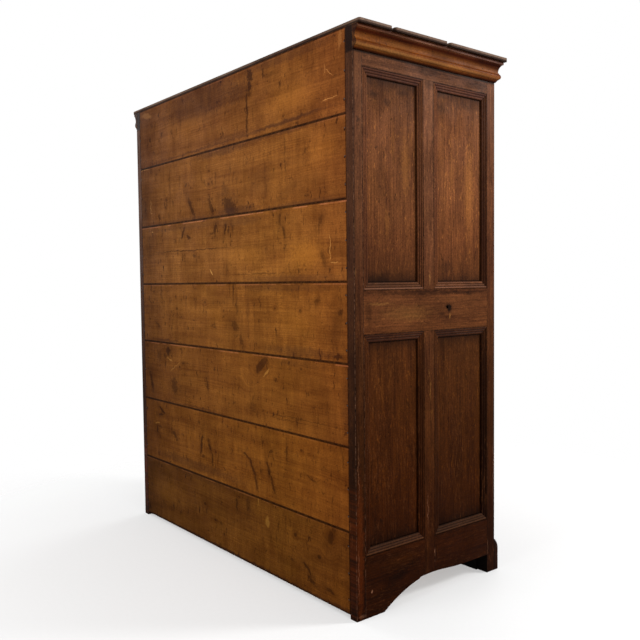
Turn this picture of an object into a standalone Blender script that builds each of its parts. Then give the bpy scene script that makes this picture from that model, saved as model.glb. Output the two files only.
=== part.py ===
"""Panelled oak cupboard, as a joiner builds it.

Two framed and panelled ends carry seven back boards, three loose top boards with a cornice under
them, a plinth on shaped feet, a floor and three shelves. Two panelled doors hang on butt hinges.
The right one has a cupboard lock with its key, and the left one a rod bolt.

Metres, +Z up. Someone who faces the doors looks along +Y and has +X on the right. The origin is on
the floor, in the middle of the width and of the depth over the top boards.
"""

import math

import bmesh
import bpy
from mathutils import Matrix, Vector

# Overall sizes
HEIGHT = 1.900
CARCASS_WIDTH = 1.527
CARCASS_DEPTH = 0.690

# Clearance between pieces that touch, and how far a cutting solid runs past the face it cuts
FIT = 0.0003
PAST_FACE = 0.002

# Top boards
TOP_THICKNESS = 0.0125
TOP_OVERHANG = 0.034
TOP_REAR_WIDTH = 0.143
TOP_MIDDLE_WIDTH = 0.246
TOP_SHRINKAGE = 0.013
TOP_WORN_CORNER = 0.005

# Corner posts, rebated at the rear for the back boards
POST_FACE = 0.044
POST_REAR_EDGE = 0.032
REAR_POST_DEPTH = 0.039
FRONT_POST_DEPTH = 0.042

# Rails and muntins of the ends, from the floor up and from the front back
RAIL_THICKNESS = 0.032
BOTTOM_RAIL_TOP = 0.204
MID_RAIL_BOTTOM = 0.922
MID_RAIL_HEIGHT = 0.1424
TOP_RAIL_HEIGHT = 0.1202
MUNTIN_WIDTH = 0.0515
MUNTIN_FROM_FRONT = 0.3245

# Joints of the frames: tenons, and the grooves that hold the panels
TENON_INSET = 0.0105
TENON_THICKNESS = 0.011
TENON_SHOULDER = 0.012
POST_TENON = 0.026
MUNTIN_TENON = 0.015
MUNTIN_TENON_SHOULDER = 0.012
MUNTIN_LAP_THICKNESS = 0.014
PANEL_RECESS = 0.011
PANEL_THICKNESS = 0.009
PANEL_PLAY = 0.001
GROOVE_DEPTH = 0.008

# Reeded moulding round each panel
MOULDING_WIDTH = 0.025
MOULDING_OUTER_DEPTH = 0.0012
MOULDING_INNER_DEPTH = 0.0065
REED_COUNT = 3
REED_RISE = 0.0016
REED_STEPS = 4

# Shaped feet: a hollow curve from the toe up to a cusp, a short step, and a nearly level arch
FOOT_TOE = 0.121
FOOT_CUSP_AT = 0.285
FOOT_CUSP_HEIGHT = 0.069
FOOT_HOLLOW = 0.0085
FOOT_STEP_AT = 0.297
FOOT_CURVE_STEPS = 8
ARCH_CROWN = 0.077
ARCH_CROWN_AT = 0.350
ARCH_LOW = 0.068
ARCH_LOW_AT = 0.510
ARCH_STEPS = 5

# Old hole in the mid rail of the left end, measured from the back and from the floor
OLD_HOLE_FROM_BACK = 0.432
OLD_HOLE_HEIGHT = 1.001
OLD_HOLE_RADIUS = 0.0055
OLD_HOLE_DEPTH = 0.010
OLD_HOLE_SIDES = 14

# Back boards, from the floor up; the top one fills what is left
BACK_CLEAR_OF_FLOOR = 0.014
BACK_BOARD_WIDTHS = (0.2714, 0.2754, 0.2677, 0.2622, 0.2618, 0.2663)
BACK_BOARD_THICKNESS = 0.018
BACK_JOINT = 0.0006

# Cornice, from its top down: fillet, cove, quirk and bead
CORNICE_HEIGHT = 0.0737
FILLET_PROJECTION = 0.024
FILLET_HEIGHT = 0.0107
COVE_TOP_PROJECTION = 0.0210
COVE_LOW_PROJECTION = 0.0100
COVE_HEIGHT = 0.0300
COVE_HOLLOW = 0.0035
QUIRK_PROJECTION = 0.0125
QUIRK_HEIGHT = 0.0030
BEAD_HEIGHT = 0.0215
BEAD_LOW_PROJECTION = 0.0090
BEAD_RISE = 0.0065
CORNICE_FOOT_PROJECTION = 0.0030
CORNICE_ARC_STEPS = 7

# Plinth across the front
PLINTH_HEIGHT = 0.117
PLINTH_PROJECTION = 0.021
PLINTH_SLOPE_HEIGHT = 0.032
PLINTH_TOP_PROJECTION = 0.003
PLINTH_SLOPE_ROUND = 0.003
PLINTH_SLOPE_STEPS = 4
PLINTH_BLOCK_END = 0.120
PLINTH_BLOCK_DEPTH = 0.050

# Rails across the front, above and below the doors
FRIEZE_RAIL_DEPTH = 0.030
BASE_RAIL_DEPTH = 0.040
BASE_RAIL_BOTTOM = 0.080
FRONT_TENON = 0.018
FRONT_TENON_INSET = 0.012
FRONT_TENON_THICKNESS = 0.012
FRONT_TENON_SHOULDER = 0.006

# Floor and shelves, housed in the corner posts
FLOOR_TOP = 0.128
FLOOR_THICKNESS = 0.018
SHELF_TOPS = {"lower": 0.500, "middle": 0.880, "upper": 1.330}
SHELF_THICKNESS = 0.020
SHELF_SETBACK = 0.030
HOUSING_DEPTH = 0.010

# Doors
DOOR_THICKNESS = 0.025
DOOR_SIDE_GAP = 0.0015
DOOR_MEETING_GAP = 0.003
DOOR_END_GAP = 0.0035
DOOR_STOP_GAP = 0.0005
DOOR_STILE = 0.075
DOOR_TOP_RAIL = 0.080
DOOR_BOTTOM_RAIL = 0.095

# Butt hinges
HINGE_FROM_END = 0.180
HINGE_HEIGHT = 0.075
LEAF_WIDTH = 0.022
LEAF_THICKNESS = 0.0018
KNUCKLE_RADIUS = 0.0045
KNUCKLE_CLEAR = 0.0008
KNUCKLE_JOINT = 0.0004
HINGE_PIN_RADIUS = 0.0020
HINGE_PIN_CLEARANCE = 0.00005
PIN_HEAD = 0.0020
KNUCKLE_SIDES = 14

# Cupboard lock inside the right door, and its key
LOCK_MIDDLE = 0.993
LOCK_FROM_EDGE = 0.003
LOCK_WIDTH = 0.062
LOCK_HEIGHT = 0.046
LOCK_DEPTH = 0.012
LOCK_WALL = 0.0015
LOCK_BOLT_LENGTH = 0.042
LOCK_BOLT_HEIGHT = 0.010
LOCK_BOLT_THICKNESS = 0.006
LOCK_BOLT_FROM_DOOR = 0.002
LOCK_BOLT_ABOVE_KEY = 0.0065
LOCK_BOLT_THROW = 0.012
LOCK_BOLT_SET_IN = 0.0005
KEY_BACKSET = 0.028
KEY_BELOW_CENTRE = 0.008
KEY_STEM_RADIUS = 0.0025
KEY_BIT_RADIUS = 0.0095
KEY_BIT_LENGTH = 0.006
KEY_BIT_THICKNESS = 0.0018
KEY_BIT_FROM_DOOR = 0.0022
KEY_STEM_PAST_BIT = 0.0008
KEY_BIT_CLEARANCE = 0.0008
KEY_STEM_CLEARANCE = 0.0003
KEY_COLLAR_RADIUS = 0.0045
KEY_COLLAR_LENGTH = 0.004
KEY_COLLAR_OUT = 0.003
KEY_BOW_LENGTH = 0.022
KEY_BOW_WIDTH = 0.026
KEY_BOW_BAR = 0.0045
KEY_BOW_THICKNESS = 0.0034
KEY_SIDES = 12
KEY_BOW_SIDES = 20
KEY_COLLAR_FROM_DOOR = 0.002

# Rod bolt in the meeting stile of the left door, with a finger knob in a slot inside
ROD_FROM_EDGE = 0.024
ROD_RADIUS = 0.004
ROD_CLEARANCE = 0.0003
ROD_LENGTH = 0.146
ROD_BELOW_TOP = 0.001
ROD_THROW = 0.012
ROD_KNOB_RADIUS = 0.0035
ROD_KNOB_OUT = 0.009
ROD_KNOB_BELOW_TOP = 0.090
ROD_SIDES = 12
ROD_SOCKET_RADIUS = 0.0065
ROD_SOCKET_DEPTH = 0.016

# Places worked out from the sizes above
FRONT_Y = TOP_OVERHANG - (CARCASS_DEPTH + TOP_OVERHANG) / 2
BACK_Y = FRONT_Y + CARCASS_DEPTH
TOP_UNDERSIDE = HEIGHT - TOP_THICKNESS
CARCASS_TOP = TOP_UNDERSIDE - FIT
TOP_RAIL_BOTTOM = CARCASS_TOP - TOP_RAIL_HEIGHT
MID_RAIL_TOP = MID_RAIL_BOTTOM + MID_RAIL_HEIGHT
CORNICE_BOTTOM = CARCASS_TOP - CORNICE_HEIGHT
FRONT_POST_START = CARCASS_DEPTH - FRONT_POST_DEPTH
MUNTIN_END = CARCASS_DEPTH - MUNTIN_FROM_FRONT
MUNTIN_START = MUNTIN_END - MUNTIN_WIDTH
FLOOR_UNDERSIDE = FLOOR_TOP - FLOOR_THICKNESS
INNER_WIDTH = CARCASS_WIDTH - 2 * POST_FACE
DOOR_WIDTH = (INNER_WIDTH - 2 * DOOR_SIDE_GAP - DOOR_MEETING_GAP) / 2
DOOR_BOTTOM = PLINTH_HEIGHT + DOOR_END_GAP
DOOR_TOP = CORNICE_BOTTOM - DOOR_END_GAP
HINGE_AXIS_X = INNER_WIDTH / 2 - DOOR_SIDE_GAP / 2
HINGE_AXIS_Y = FRONT_Y - KNUCKLE_RADIUS - KNUCKLE_CLEAR
KEY_AT = DOOR_WIDTH - KEY_BACKSET
KEY_HEIGHT = LOCK_MIDDLE - KEY_BELOW_CENTRE
KEY_HOLE_RADIUS = KEY_STEM_RADIUS + KEY_STEM_CLEARANCE
ROD_AT = DOOR_WIDTH - ROD_FROM_EDGE
ROD_DEPTH = DOOR_THICKNESS / 2

UP = Vector((0, 0, 1))
LEFT = -1
RIGHT = 1
SIDE_NAMES = {LEFT: "left", RIGHT: "right"}
HINGE_LEVELS = ("lower", "upper")


class Sheet:
    """Axes of an upright face: u along it, d into it from its outer face, and z up from the floor."""

    def __init__(self, corner, along, inward):
        self.corner = Vector(corner)
        self.along = Vector(along)
        self.inward = Vector(inward)

    def point(self, u, d, z):
        """World position of a point of this face."""
        return self.corner + self.along * u + self.inward * d + UP * z


def end_sheet(side):
    """Outer face of an end; u runs from the back to the front."""
    return Sheet((side * CARCASS_WIDTH / 2, BACK_Y, 0), (0, -1, 0), (-side, 0, 0))


def door_sheet(side):
    """Outer face of a door; u runs from its hinged edge to its meeting edge."""
    hinged_edge = side * (INNER_WIDTH / 2 - DOOR_SIDE_GAP)
    return Sheet((hinged_edge, FRONT_Y, 0), (-side, 0, 0), (0, 1, 0))


FRONT_SHEET = Sheet((-CARCASS_WIDTH / 2, FRONT_Y, 0), (1, 0, 0), (0, 1, 0))
BACK_SHEET = Sheet((-CARCASS_WIDTH / 2, BACK_Y, 0), (1, 0, 0), (0, -1, 0))


def clear_scene():
    """Remove every object of the open file."""
    for item in list(bpy.data.objects):
        bpy.data.objects.remove(item, do_unlink=True)


def make_material(name, color, roughness, metallic=0.0):
    """Principled material with the piece's own colour, roughness and metallic value."""
    material = bpy.data.materials.new(name)
    material.use_nodes = True
    shader = material.node_tree.nodes["Principled BSDF"]
    shader.inputs["Base Color"].default_value = (*color, 1.0)
    shader.inputs["Roughness"].default_value = roughness
    shader.inputs["Metallic"].default_value = metallic
    return material


def make_materials():
    """All materials of the cupboard by name."""
    return {
        "oak_frame": make_material("oak_frame", (0.150, 0.055, 0.022), 0.45),
        "oak_panel": make_material("oak_panel", (0.120, 0.045, 0.018), 0.50),
        "oak_cornice": make_material("oak_cornice", (0.260, 0.105, 0.030), 0.40),
        "pine_back": make_material("pine_back", (0.340, 0.150, 0.038), 0.60),
        "pine_top": make_material("pine_top", (0.170, 0.115, 0.085), 0.75),
        "pine_inside": make_material("pine_inside", (0.400, 0.230, 0.095), 0.65),
        "iron": make_material("iron", (0.060, 0.052, 0.048), 0.55, 1.0),
        "brass": make_material("brass", (0.450, 0.290, 0.090), 0.40, 1.0),
    }


def make_pivot(name, location, parent=None):
    """Empty that carries the pieces of one moving group."""
    pivot = bpy.data.objects.new(name, None)
    bpy.context.scene.collection.objects.link(pivot)
    place_in(pivot, Vector(location), parent)
    return pivot


def place_in(item, location, parent):
    """Put an object at a world position, under its parent if it has one."""
    item.location = location
    if parent is not None:
        item.parent = parent
        item.location = location - world_place(parent)


def world_place(item):
    """World position of an empty whose own parents are empties that aren't turned."""
    place = item.location.copy()
    while item.parent is not None:
        item = item.parent
        place += item.location
    return place


def finish_object(name, bm, material=None, parent=None, smooth=False):
    """Turn a bmesh in world coordinates into an object whose origin is the middle of its box."""
    bmesh.ops.recalc_face_normals(bm, faces=bm.faces)
    lows = [min(vert.co[axis] for vert in bm.verts) for axis in range(3)]
    highs = [max(vert.co[axis] for vert in bm.verts) for axis in range(3)]
    middle = (Vector(lows) + Vector(highs)) / 2
    bmesh.ops.translate(bm, verts=bm.verts, vec=-middle)
    mesh = bpy.data.meshes.new(name)
    bm.to_mesh(mesh)
    bm.free()
    item = bpy.data.objects.new(name, mesh)
    bpy.context.scene.collection.objects.link(item)
    place_in(item, middle, parent)
    if material is not None:
        mesh.materials.append(material)
    if smooth:
        mesh.shade_smooth()
        mesh.set_sharp_from_angle(angle=math.radians(32))
    return item


def as_guide(item):
    """Mark an object as a cutter or an addition, which isn't a piece of the cupboard."""
    item.hide_render = True
    item.display_type = "WIRE"
    return item


def add_prism(bm, base_points, travel):
    """Extrude a closed outline of world points along a vector."""
    corners = [bm.verts.new(point) for point in base_points]
    base = bm.faces.new(corners)
    grown = bmesh.ops.extrude_face_region(bm, geom=[base])
    moved = [part for part in grown["geom"] if isinstance(part, bmesh.types.BMVert)]
    bmesh.ops.translate(bm, verts=moved, vec=travel)


def board(name, sheet, outline, d_range, material=None, parent=None):
    """Board with an outline of (u, z) points and the thickness between two depths."""
    bm = bmesh.new()
    face = [sheet.point(u, d_range[0], z) for u, z in outline]
    add_prism(bm, face, sheet.inward * (d_range[1] - d_range[0]))
    return finish_object(name, bm, material, parent)


def rectangle(u_range, z_range):
    """Outline of a rectangle from its two ranges."""
    (u0, u1), (z0, z1) = u_range, z_range
    return [(u0, z0), (u1, z0), (u1, z1), (u0, z1)]


def slab(name, outline, z_range, material=None, parent=None):
    """Level board with an outline of world (x, y) points."""
    bm = bmesh.new()
    add_prism(bm, [Vector((x, y, z_range[0])) for x, y in outline], UP * (z_range[1] - z_range[0]))
    return finish_object(name, bm, material, parent)


def add_cylinder(bm, centre, axis, radius, length, sides):
    """Closed cylinder about an axis through its centre."""
    turn = Vector(axis).to_track_quat("Z", "Y").to_matrix().to_4x4()
    bmesh.ops.create_cone(
        bm,
        cap_ends=True,
        segments=sides,
        radius1=radius,
        radius2=radius,
        depth=length,
        matrix=Matrix.Translation(centre) @ turn,
    )


def cylinder(name, centre, axis, radius, length, sides, material=None, parent=None):
    """Cylinder as an object of its own."""
    bm = bmesh.new()
    add_cylinder(bm, centre, axis, radius, length, sides)
    return finish_object(name, bm, material, parent, smooth=True)


def combine(target, other, operation):
    """Cut another object out of a piece, or add it to the piece."""
    modifier = target.modifiers.new(other.name, "BOOLEAN")
    modifier.operation = operation
    modifier.solver = "EXACT"
    modifier.object = as_guide(other)


def cut(target, other):
    """Cut another object out of a piece."""
    combine(target, other, "DIFFERENCE")


def unite(target, other):
    """Add another object to a piece."""
    combine(target, other, "UNION")


def grow(span, amount):
    """Widen a range by the same amount at both ends."""
    return (span[0] - amount, span[1] + amount)


def tenon_depth():
    """Range of depths that tenons take in the frames."""
    return (TENON_INSET, TENON_INSET + TENON_THICKNESS)


def tenon_joint(sheet, tenoned, mortised, u_range, z_range, d_range):
    """Give one board a tenon in the ranges stated, and another board its mortise."""
    name = f"{tenoned.name}_into_{mortised.name}"
    unite(tenoned, board(f"tenon_{name}", sheet, rectangle(u_range, z_range), d_range))
    hole = rectangle(grow(u_range, FIT), grow(z_range, FIT))
    cut(mortised, board(f"mortise_{name}", sheet, hole, grow(d_range, FIT)))


def join_rail(sheet, rail, post, shoulder_at, direction, z_range):
    """Tenon the end of a rail into a post; direction is the way the tenon points along u."""
    tip = shoulder_at + direction * POST_TENON
    root = shoulder_at - direction * PAST_FACE
    span = (min(tip, root), max(tip, root))
    tenon_joint(sheet, rail, post, span, grow(z_range, -TENON_SHOULDER), tenon_depth())


def join_muntin(sheet, muntin, rail, shoulder_at, direction, u_range):
    """Tenon the end of a muntin into a rail; direction is the way the tenon points along z."""
    tip = shoulder_at + direction * MUNTIN_TENON
    root = shoulder_at - direction * PAST_FACE
    span = (min(tip, root), max(tip, root))
    tenon_joint(sheet, muntin, rail, grow(u_range, -MUNTIN_TENON_SHOULDER), span, tenon_depth())


def arc_points(start, end, rise, steps):
    """Points of a circular arc that bulges by rise to the left of the way from start to end."""
    start = Vector(start)
    end = Vector(end)
    chord = end - start
    half = chord.length / 2
    side = Vector((-chord.y, chord.x)).normalized()
    radius = (half * half + rise * rise) / (2 * abs(rise))
    centre = (start + end) / 2 - side * math.copysign(radius - abs(rise), rise)
    spread = math.asin(half / radius)
    forward = chord.normalized()
    points = []
    for step in range(steps + 1):
        angle = spread * (2 * step / steps - 1)
        offset = side * math.copysign(math.cos(angle), rise) + forward * math.sin(angle)
        points.append(tuple(centre + offset * radius))
    return points


def foot_curve():
    """Underside of a shaped foot, from the corner of the cupboard to the start of the arch."""
    cusp = (FOOT_CUSP_AT, FOOT_CUSP_HEIGHT)
    return [(0.0, 0.0), *arc_points((FOOT_TOE, 0.0), cusp, FOOT_HOLLOW, FOOT_CURVE_STEPS)]


def end_underside():
    """Underside of an end, from the back to the front post."""
    points = [*foot_curve(), (FOOT_STEP_AT, ARCH_CROWN - (ARCH_CROWN - FOOT_CUSP_HEIGHT) / 4)]
    for step in range(ARCH_STEPS + 1):
        share = step / ARCH_STEPS
        fall = (1 - math.cos(math.pi * share)) / 2
        at = ARCH_CROWN_AT + (ARCH_LOW_AT - ARCH_CROWN_AT) * share
        points.append((at, ARCH_CROWN - (ARCH_CROWN - ARCH_LOW) * fall))
    points.append((CARCASS_DEPTH, ARCH_LOW))
    return points


def height_on(line, at):
    """Height of a line of (u, z) points at one place."""
    for (u0, z0), (u1, z1) in zip(line, line[1:]):
        if u0 <= at <= u1 and u1 > u0:
            return z0 + (z1 - z0) * (at - u0) / (u1 - u0)
    return line[-1][1]


def board_over(line, u_range, top):
    """Outline of a board whose lower edge follows a line and whose top is level."""
    start, end = u_range
    between = [point for point in line if start < point[0] < end]
    lower = [(start, height_on(line, start)), *between, (end, height_on(line, end))]
    return [*lower, (end, top), (start, top)]


def add_strip(bm, section, start, end):
    """Closed strip of one section; start and end place a section point at each end of it."""
    first = [bm.verts.new(start(*point)) for point in section]
    last = [bm.verts.new(end(*point)) for point in section]
    bm.faces.new(first)
    bm.faces.new(last)
    for index in range(len(section)):
        after = (index + 1) % len(section)
        bm.faces.new((first[index], first[after], last[after], last[index]))


def moulding_section():
    """Section of the panel moulding as (distance in from the opening's edge, depth)."""
    points = []
    reed_width = (MOULDING_WIDTH - FIT) / REED_COUNT
    reed_fall = (MOULDING_INNER_DEPTH - MOULDING_OUTER_DEPTH) / REED_COUNT
    for reed in range(REED_COUNT):
        start = (FIT + reed * reed_width, MOULDING_OUTER_DEPTH + reed * reed_fall)
        end = (start[0] + reed_width, start[1] + reed_fall)
        points += arc_points(start, end, -REED_RISE, REED_STEPS)[:-1]
    points.append((MOULDING_WIDTH, MOULDING_INNER_DEPTH))
    points.append((MOULDING_WIDTH, PANEL_RECESS + PANEL_THICKNESS / 2))
    points.append((FIT, PANEL_RECESS + PANEL_THICKNESS / 2))
    return points


def moulding(name, sheet, opening):
    """Mitred moulding round the inside of one opening, glued to the panel behind it."""
    (u0, u1), (z0, z1) = opening
    bm = bmesh.new()
    rings = []
    for inset, depth in moulding_section():
        corners = rectangle((u0 + inset, u1 - inset), (z0 + inset, z1 - inset))
        rings.append([bm.verts.new(sheet.point(u, depth, z)) for u, z in corners])
    for index, ring in enumerate(rings):
        after = rings[(index + 1) % len(rings)]
        for corner in range(4):
            following = (corner + 1) % 4
            bm.faces.new((ring[corner], ring[following], after[following], after[corner]))
    return finish_object(name, bm)


def panel_in_grooves(name, sheet, opening, holders, material, parent=None):
    """Moulded panel, held all round in grooves cut in the boards that surround its opening."""
    u_range, z_range = opening
    thickness = (PANEL_RECESS, PANEL_RECESS + PANEL_THICKNESS)
    groove = rectangle(grow(u_range, GROOVE_DEPTH), grow(z_range, GROOVE_DEPTH))
    groove_cutter = board(f"groove_{name}", sheet, groove, grow(thickness, FIT))
    for holder in holders:
        cut(holder, groove_cutter)
    reach = GROOVE_DEPTH - PANEL_PLAY
    outline = rectangle(grow(u_range, reach), grow(z_range, reach))
    panel = board(name, sheet, outline, thickness, material, parent)
    unite(panel, moulding(f"moulding_{name}", sheet, opening))
    return panel


def build_end(side, materials):
    """One framed and panelled end; returns its rear post and its front post."""
    name = f"{SIDE_NAMES[side]}_end"
    sheet = end_sheet(side)
    oak = materials["oak_frame"]
    post_depths = (0.0, POST_FACE)
    rail_depths = (0.0, RAIL_THICKNESS)
    shoulders = (REAR_POST_DEPTH + FIT, FRONT_POST_START - FIT)
    muntin_span = (MUNTIN_START, MUNTIN_END)
    underside = end_underside()

    rear_outline = rectangle((0.0, REAR_POST_DEPTH), (0.0, CARCASS_TOP))
    rear_post = board(f"{name}_rear_post", sheet, rear_outline, post_depths, oak)
    rebate = rectangle((-PAST_FACE, BACK_BOARD_THICKNESS + FIT), (-PAST_FACE, CARCASS_TOP + PAST_FACE))
    cut(rear_post, board(f"rebate_{name}", sheet, rebate, (POST_REAR_EDGE, POST_FACE + PAST_FACE)))
    front_outline = rectangle((FRONT_POST_START, CARCASS_DEPTH), (0.0, CARCASS_TOP))
    front_post = board(f"{name}_front_post", sheet, front_outline, post_depths, oak)

    top_heights = (TOP_RAIL_BOTTOM, CARCASS_TOP)
    mid_heights = (MID_RAIL_BOTTOM, MID_RAIL_TOP)
    bottom_heights = (ARCH_CROWN, BOTTOM_RAIL_TOP)
    top_rail = board(f"{name}_top_rail", sheet, rectangle(shoulders, top_heights), rail_depths, oak)
    mid_rail = board(f"{name}_mid_rail", sheet, rectangle(shoulders, mid_heights), rail_depths, oak)
    bottom_outline = board_over(underside, shoulders, BOTTOM_RAIL_TOP)
    bottom_rail = board(f"{name}_bottom_rail", sheet, bottom_outline, rail_depths, oak)
    tenoned = ((top_rail, top_heights), (mid_rail, mid_heights), (bottom_rail, bottom_heights))
    for rail, heights in tenoned:
        join_rail(sheet, rail, rear_post, shoulders[0], -1, heights)
        join_rail(sheet, rail, front_post, shoulders[1], 1, heights)

    upper_outline = rectangle(muntin_span, grow((MID_RAIL_TOP, TOP_RAIL_BOTTOM), -FIT))
    upper_muntin = board(f"{name}_upper_muntin", sheet, upper_outline, rail_depths, oak)
    join_muntin(sheet, upper_muntin, top_rail, TOP_RAIL_BOTTOM - FIT, 1, muntin_span)
    join_muntin(sheet, upper_muntin, mid_rail, MID_RAIL_TOP + FIT, -1, muntin_span)
    lower_outline = rectangle(muntin_span, grow((BOTTOM_RAIL_TOP, MID_RAIL_BOTTOM), -FIT))
    lower_muntin = board(f"{name}_lower_muntin", sheet, lower_outline, rail_depths, oak)
    join_muntin(sheet, lower_muntin, mid_rail, MID_RAIL_BOTTOM - FIT, 1, muntin_span)
    lap_outline = board_over(underside, muntin_span, BOTTOM_RAIL_TOP + PAST_FACE)
    unite(lower_muntin, board(f"{name}_lap", sheet, lap_outline, (0.0, MUNTIN_LAP_THICKNESS)))
    notch = rectangle(grow(muntin_span, FIT), (ARCH_LOW / 2, BOTTOM_RAIL_TOP + PAST_FACE))
    cut(bottom_rail, board(f"{name}_notch", sheet, notch, (-PAST_FACE, MUNTIN_LAP_THICKNESS + FIT)))

    rear_width = (REAR_POST_DEPTH, MUNTIN_START)
    front_width = (MUNTIN_END, FRONT_POST_START)
    upper_height = (MID_RAIL_TOP, TOP_RAIL_BOTTOM)
    lower_height = (BOTTOM_RAIL_TOP, MID_RAIL_BOTTOM)
    openings = {
        "upper_rear": (rear_width, upper_height, (rear_post, upper_muntin, top_rail, mid_rail)),
        "upper_front": (front_width, upper_height, (front_post, upper_muntin, top_rail, mid_rail)),
        "lower_rear": (rear_width, lower_height, (rear_post, lower_muntin, mid_rail, bottom_rail)),
        "lower_front": (front_width, lower_height, (front_post, lower_muntin, mid_rail, bottom_rail)),
    }
    for place, (u_range, z_range, holders) in openings.items():
        opening = (u_range, z_range)
        panel_in_grooves(f"{name}_panel_{place}", sheet, opening, holders, materials["oak_panel"])
    if side == LEFT:
        centre = sheet.point(OLD_HOLE_FROM_BACK, 0.0, OLD_HOLE_HEIGHT)
        length = 2 * OLD_HOLE_DEPTH
        cut(mid_rail, cylinder("old_hole", centre, sheet.inward, OLD_HOLE_RADIUS, length, OLD_HOLE_SIDES))
    return rear_post, front_post


def back_board_spans():
    """Height range of each back board, from the floor up."""
    spans = []
    bottom = BACK_CLEAR_OF_FLOOR
    for width in BACK_BOARD_WIDTHS:
        spans.append((bottom, bottom + width))
        bottom += width + BACK_JOINT
    spans.append((bottom, CARCASS_TOP))
    return spans


def build_back(materials):
    """Back boards laid across, in the rebates of the rear posts."""
    u_range = (POST_REAR_EDGE + FIT, CARCASS_WIDTH - POST_REAR_EDGE - FIT)
    depths = (0.0, BACK_BOARD_THICKNESS)
    for number, z_range in enumerate(back_board_spans(), start=1):
        outline = rectangle(u_range, z_range)
        board(f"back_board_{number}", BACK_SHEET, outline, depths, materials["pine_back"])


def top_board_outline(y_range):
    """Top board seen from above, with its worn corners."""
    half = CARCASS_WIDTH / 2 + TOP_OVERHANG
    low, high = y_range
    worn = TOP_WORN_CORNER
    return [
        (-half + worn, low),
        (half - worn, low),
        (half, low + worn),
        (half, high - worn),
        (half - worn, high),
        (-half + worn, high),
        (-half, high - worn),
        (-half, low + worn),
    ]


def build_top(materials):
    """Three loose top boards with shrinkage gaps between them."""
    rear = (BACK_Y - TOP_REAR_WIDTH, BACK_Y)
    middle = (rear[0] - TOP_SHRINKAGE - TOP_MIDDLE_WIDTH, rear[0] - TOP_SHRINKAGE)
    front = (FRONT_Y - TOP_OVERHANG, middle[0] - TOP_SHRINKAGE)
    heights = (TOP_UNDERSIDE, HEIGHT)
    for name, y_range in (("rear", rear), ("middle", middle), ("front", front)):
        slab(f"top_board_{name}", top_board_outline(y_range), heights, materials["pine_top"])


def cornice_section():
    """Section of the cornice as (projection, height), from its top down."""
    top = CARCASS_TOP
    under_fillet = top - FILLET_HEIGHT
    under_cove = under_fillet - COVE_HEIGHT
    under_quirk = under_cove - QUIRK_HEIGHT
    under_bead = under_quirk - BEAD_HEIGHT
    points = [(FIT, top), (FILLET_PROJECTION, top), (FILLET_PROJECTION, under_fillet)]
    cove_start = (COVE_TOP_PROJECTION, under_fillet)
    points += arc_points(cove_start, (COVE_LOW_PROJECTION, under_cove), -COVE_HOLLOW, CORNICE_ARC_STEPS)
    points.append((QUIRK_PROJECTION, under_cove))
    bead_start = (QUIRK_PROJECTION, under_quirk)
    points += arc_points(bead_start, (BEAD_LOW_PROJECTION, under_bead), BEAD_RISE, CORNICE_ARC_STEPS)
    points += [(CORNICE_FOOT_PROJECTION, CORNICE_BOTTOM), (FIT, CORNICE_BOTTOM)]
    return points


def build_cornice(materials):
    """Front length and two returns, mitred at the front corners and square at the back."""
    section = cornice_section()
    half = CARCASS_WIDTH / 2
    oak = materials["oak_cornice"]
    front = bmesh.new()
    add_strip(
        front,
        section,
        lambda out, z: Vector((-half - out + FIT, FRONT_Y - out, z)),
        lambda out, z: Vector((half + out - FIT, FRONT_Y - out, z)),
    )
    finish_object("cornice_front", front, oak, smooth=True)
    for side, side_name in SIDE_NAMES.items():
        sides = bmesh.new()
        add_strip(
            sides,
            section,
            lambda out, z, s=side: Vector((s * (half + out), FRONT_Y - out + FIT, z)),
            lambda out, z, s=side: Vector((s * (half + out), BACK_Y, z)),
        )
        finish_object(f"cornice_{side_name}", sides, oak, smooth=True)


def plinth_outline():
    """Plinth seen from the front, with a shaped foot at each end."""
    foot = [*foot_curve(), (FOOT_STEP_AT, ARCH_CROWN)]
    mirrored = [(CARCASS_WIDTH - u, z) for u, z in reversed(foot)]
    return [*foot, *mirrored, (CARCASS_WIDTH, PLINTH_HEIGHT), (0.0, PLINTH_HEIGHT)]


def build_plinth(materials):
    """Plinth with a sloping upper edge, and the blocks glued behind its feet."""
    depths = (-PLINTH_PROJECTION, -FIT)
    plinth = board("front_plinth", FRONT_SHEET, plinth_outline(), depths, materials["oak_frame"])
    for side, side_name in SIDE_NAMES.items():
        near = CARCASS_WIDTH / 2 + side * (CARCASS_WIDTH / 2 - POST_FACE - FIT)
        far = CARCASS_WIDTH / 2 + side * (CARCASS_WIDTH / 2 - PLINTH_BLOCK_END)
        outline = rectangle((min(near, far), max(near, far)), (0.0, BASE_RAIL_BOTTOM - FIT))
        block_depths = (-PLINTH_PROJECTION / 2, PLINTH_BLOCK_DEPTH)
        unite(plinth, board(f"foot_block_{side_name}", FRONT_SHEET, outline, block_depths))
    slope_foot = (-PLINTH_PROJECTION, PLINTH_HEIGHT - PLINTH_SLOPE_HEIGHT)
    slope_top = (-PLINTH_TOP_PROJECTION, PLINTH_HEIGHT)
    slope = arc_points(slope_foot, slope_top, PLINTH_SLOPE_ROUND, PLINTH_SLOPE_STEPS)
    outside = [
        *slope,
        (slope_top[0], PLINTH_HEIGHT + PAST_FACE),
        (slope_foot[0] - PAST_FACE, PLINTH_HEIGHT + PAST_FACE),
        (slope_foot[0] - PAST_FACE, slope_foot[1]),
    ]
    bm = bmesh.new()
    base = [FRONT_SHEET.point(-PAST_FACE, d, z) for d, z in outside]
    add_prism(bm, base, FRONT_SHEET.along * (CARCASS_WIDTH + 2 * PAST_FACE))
    cut(plinth, finish_object("plinth_slope", bm))


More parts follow.
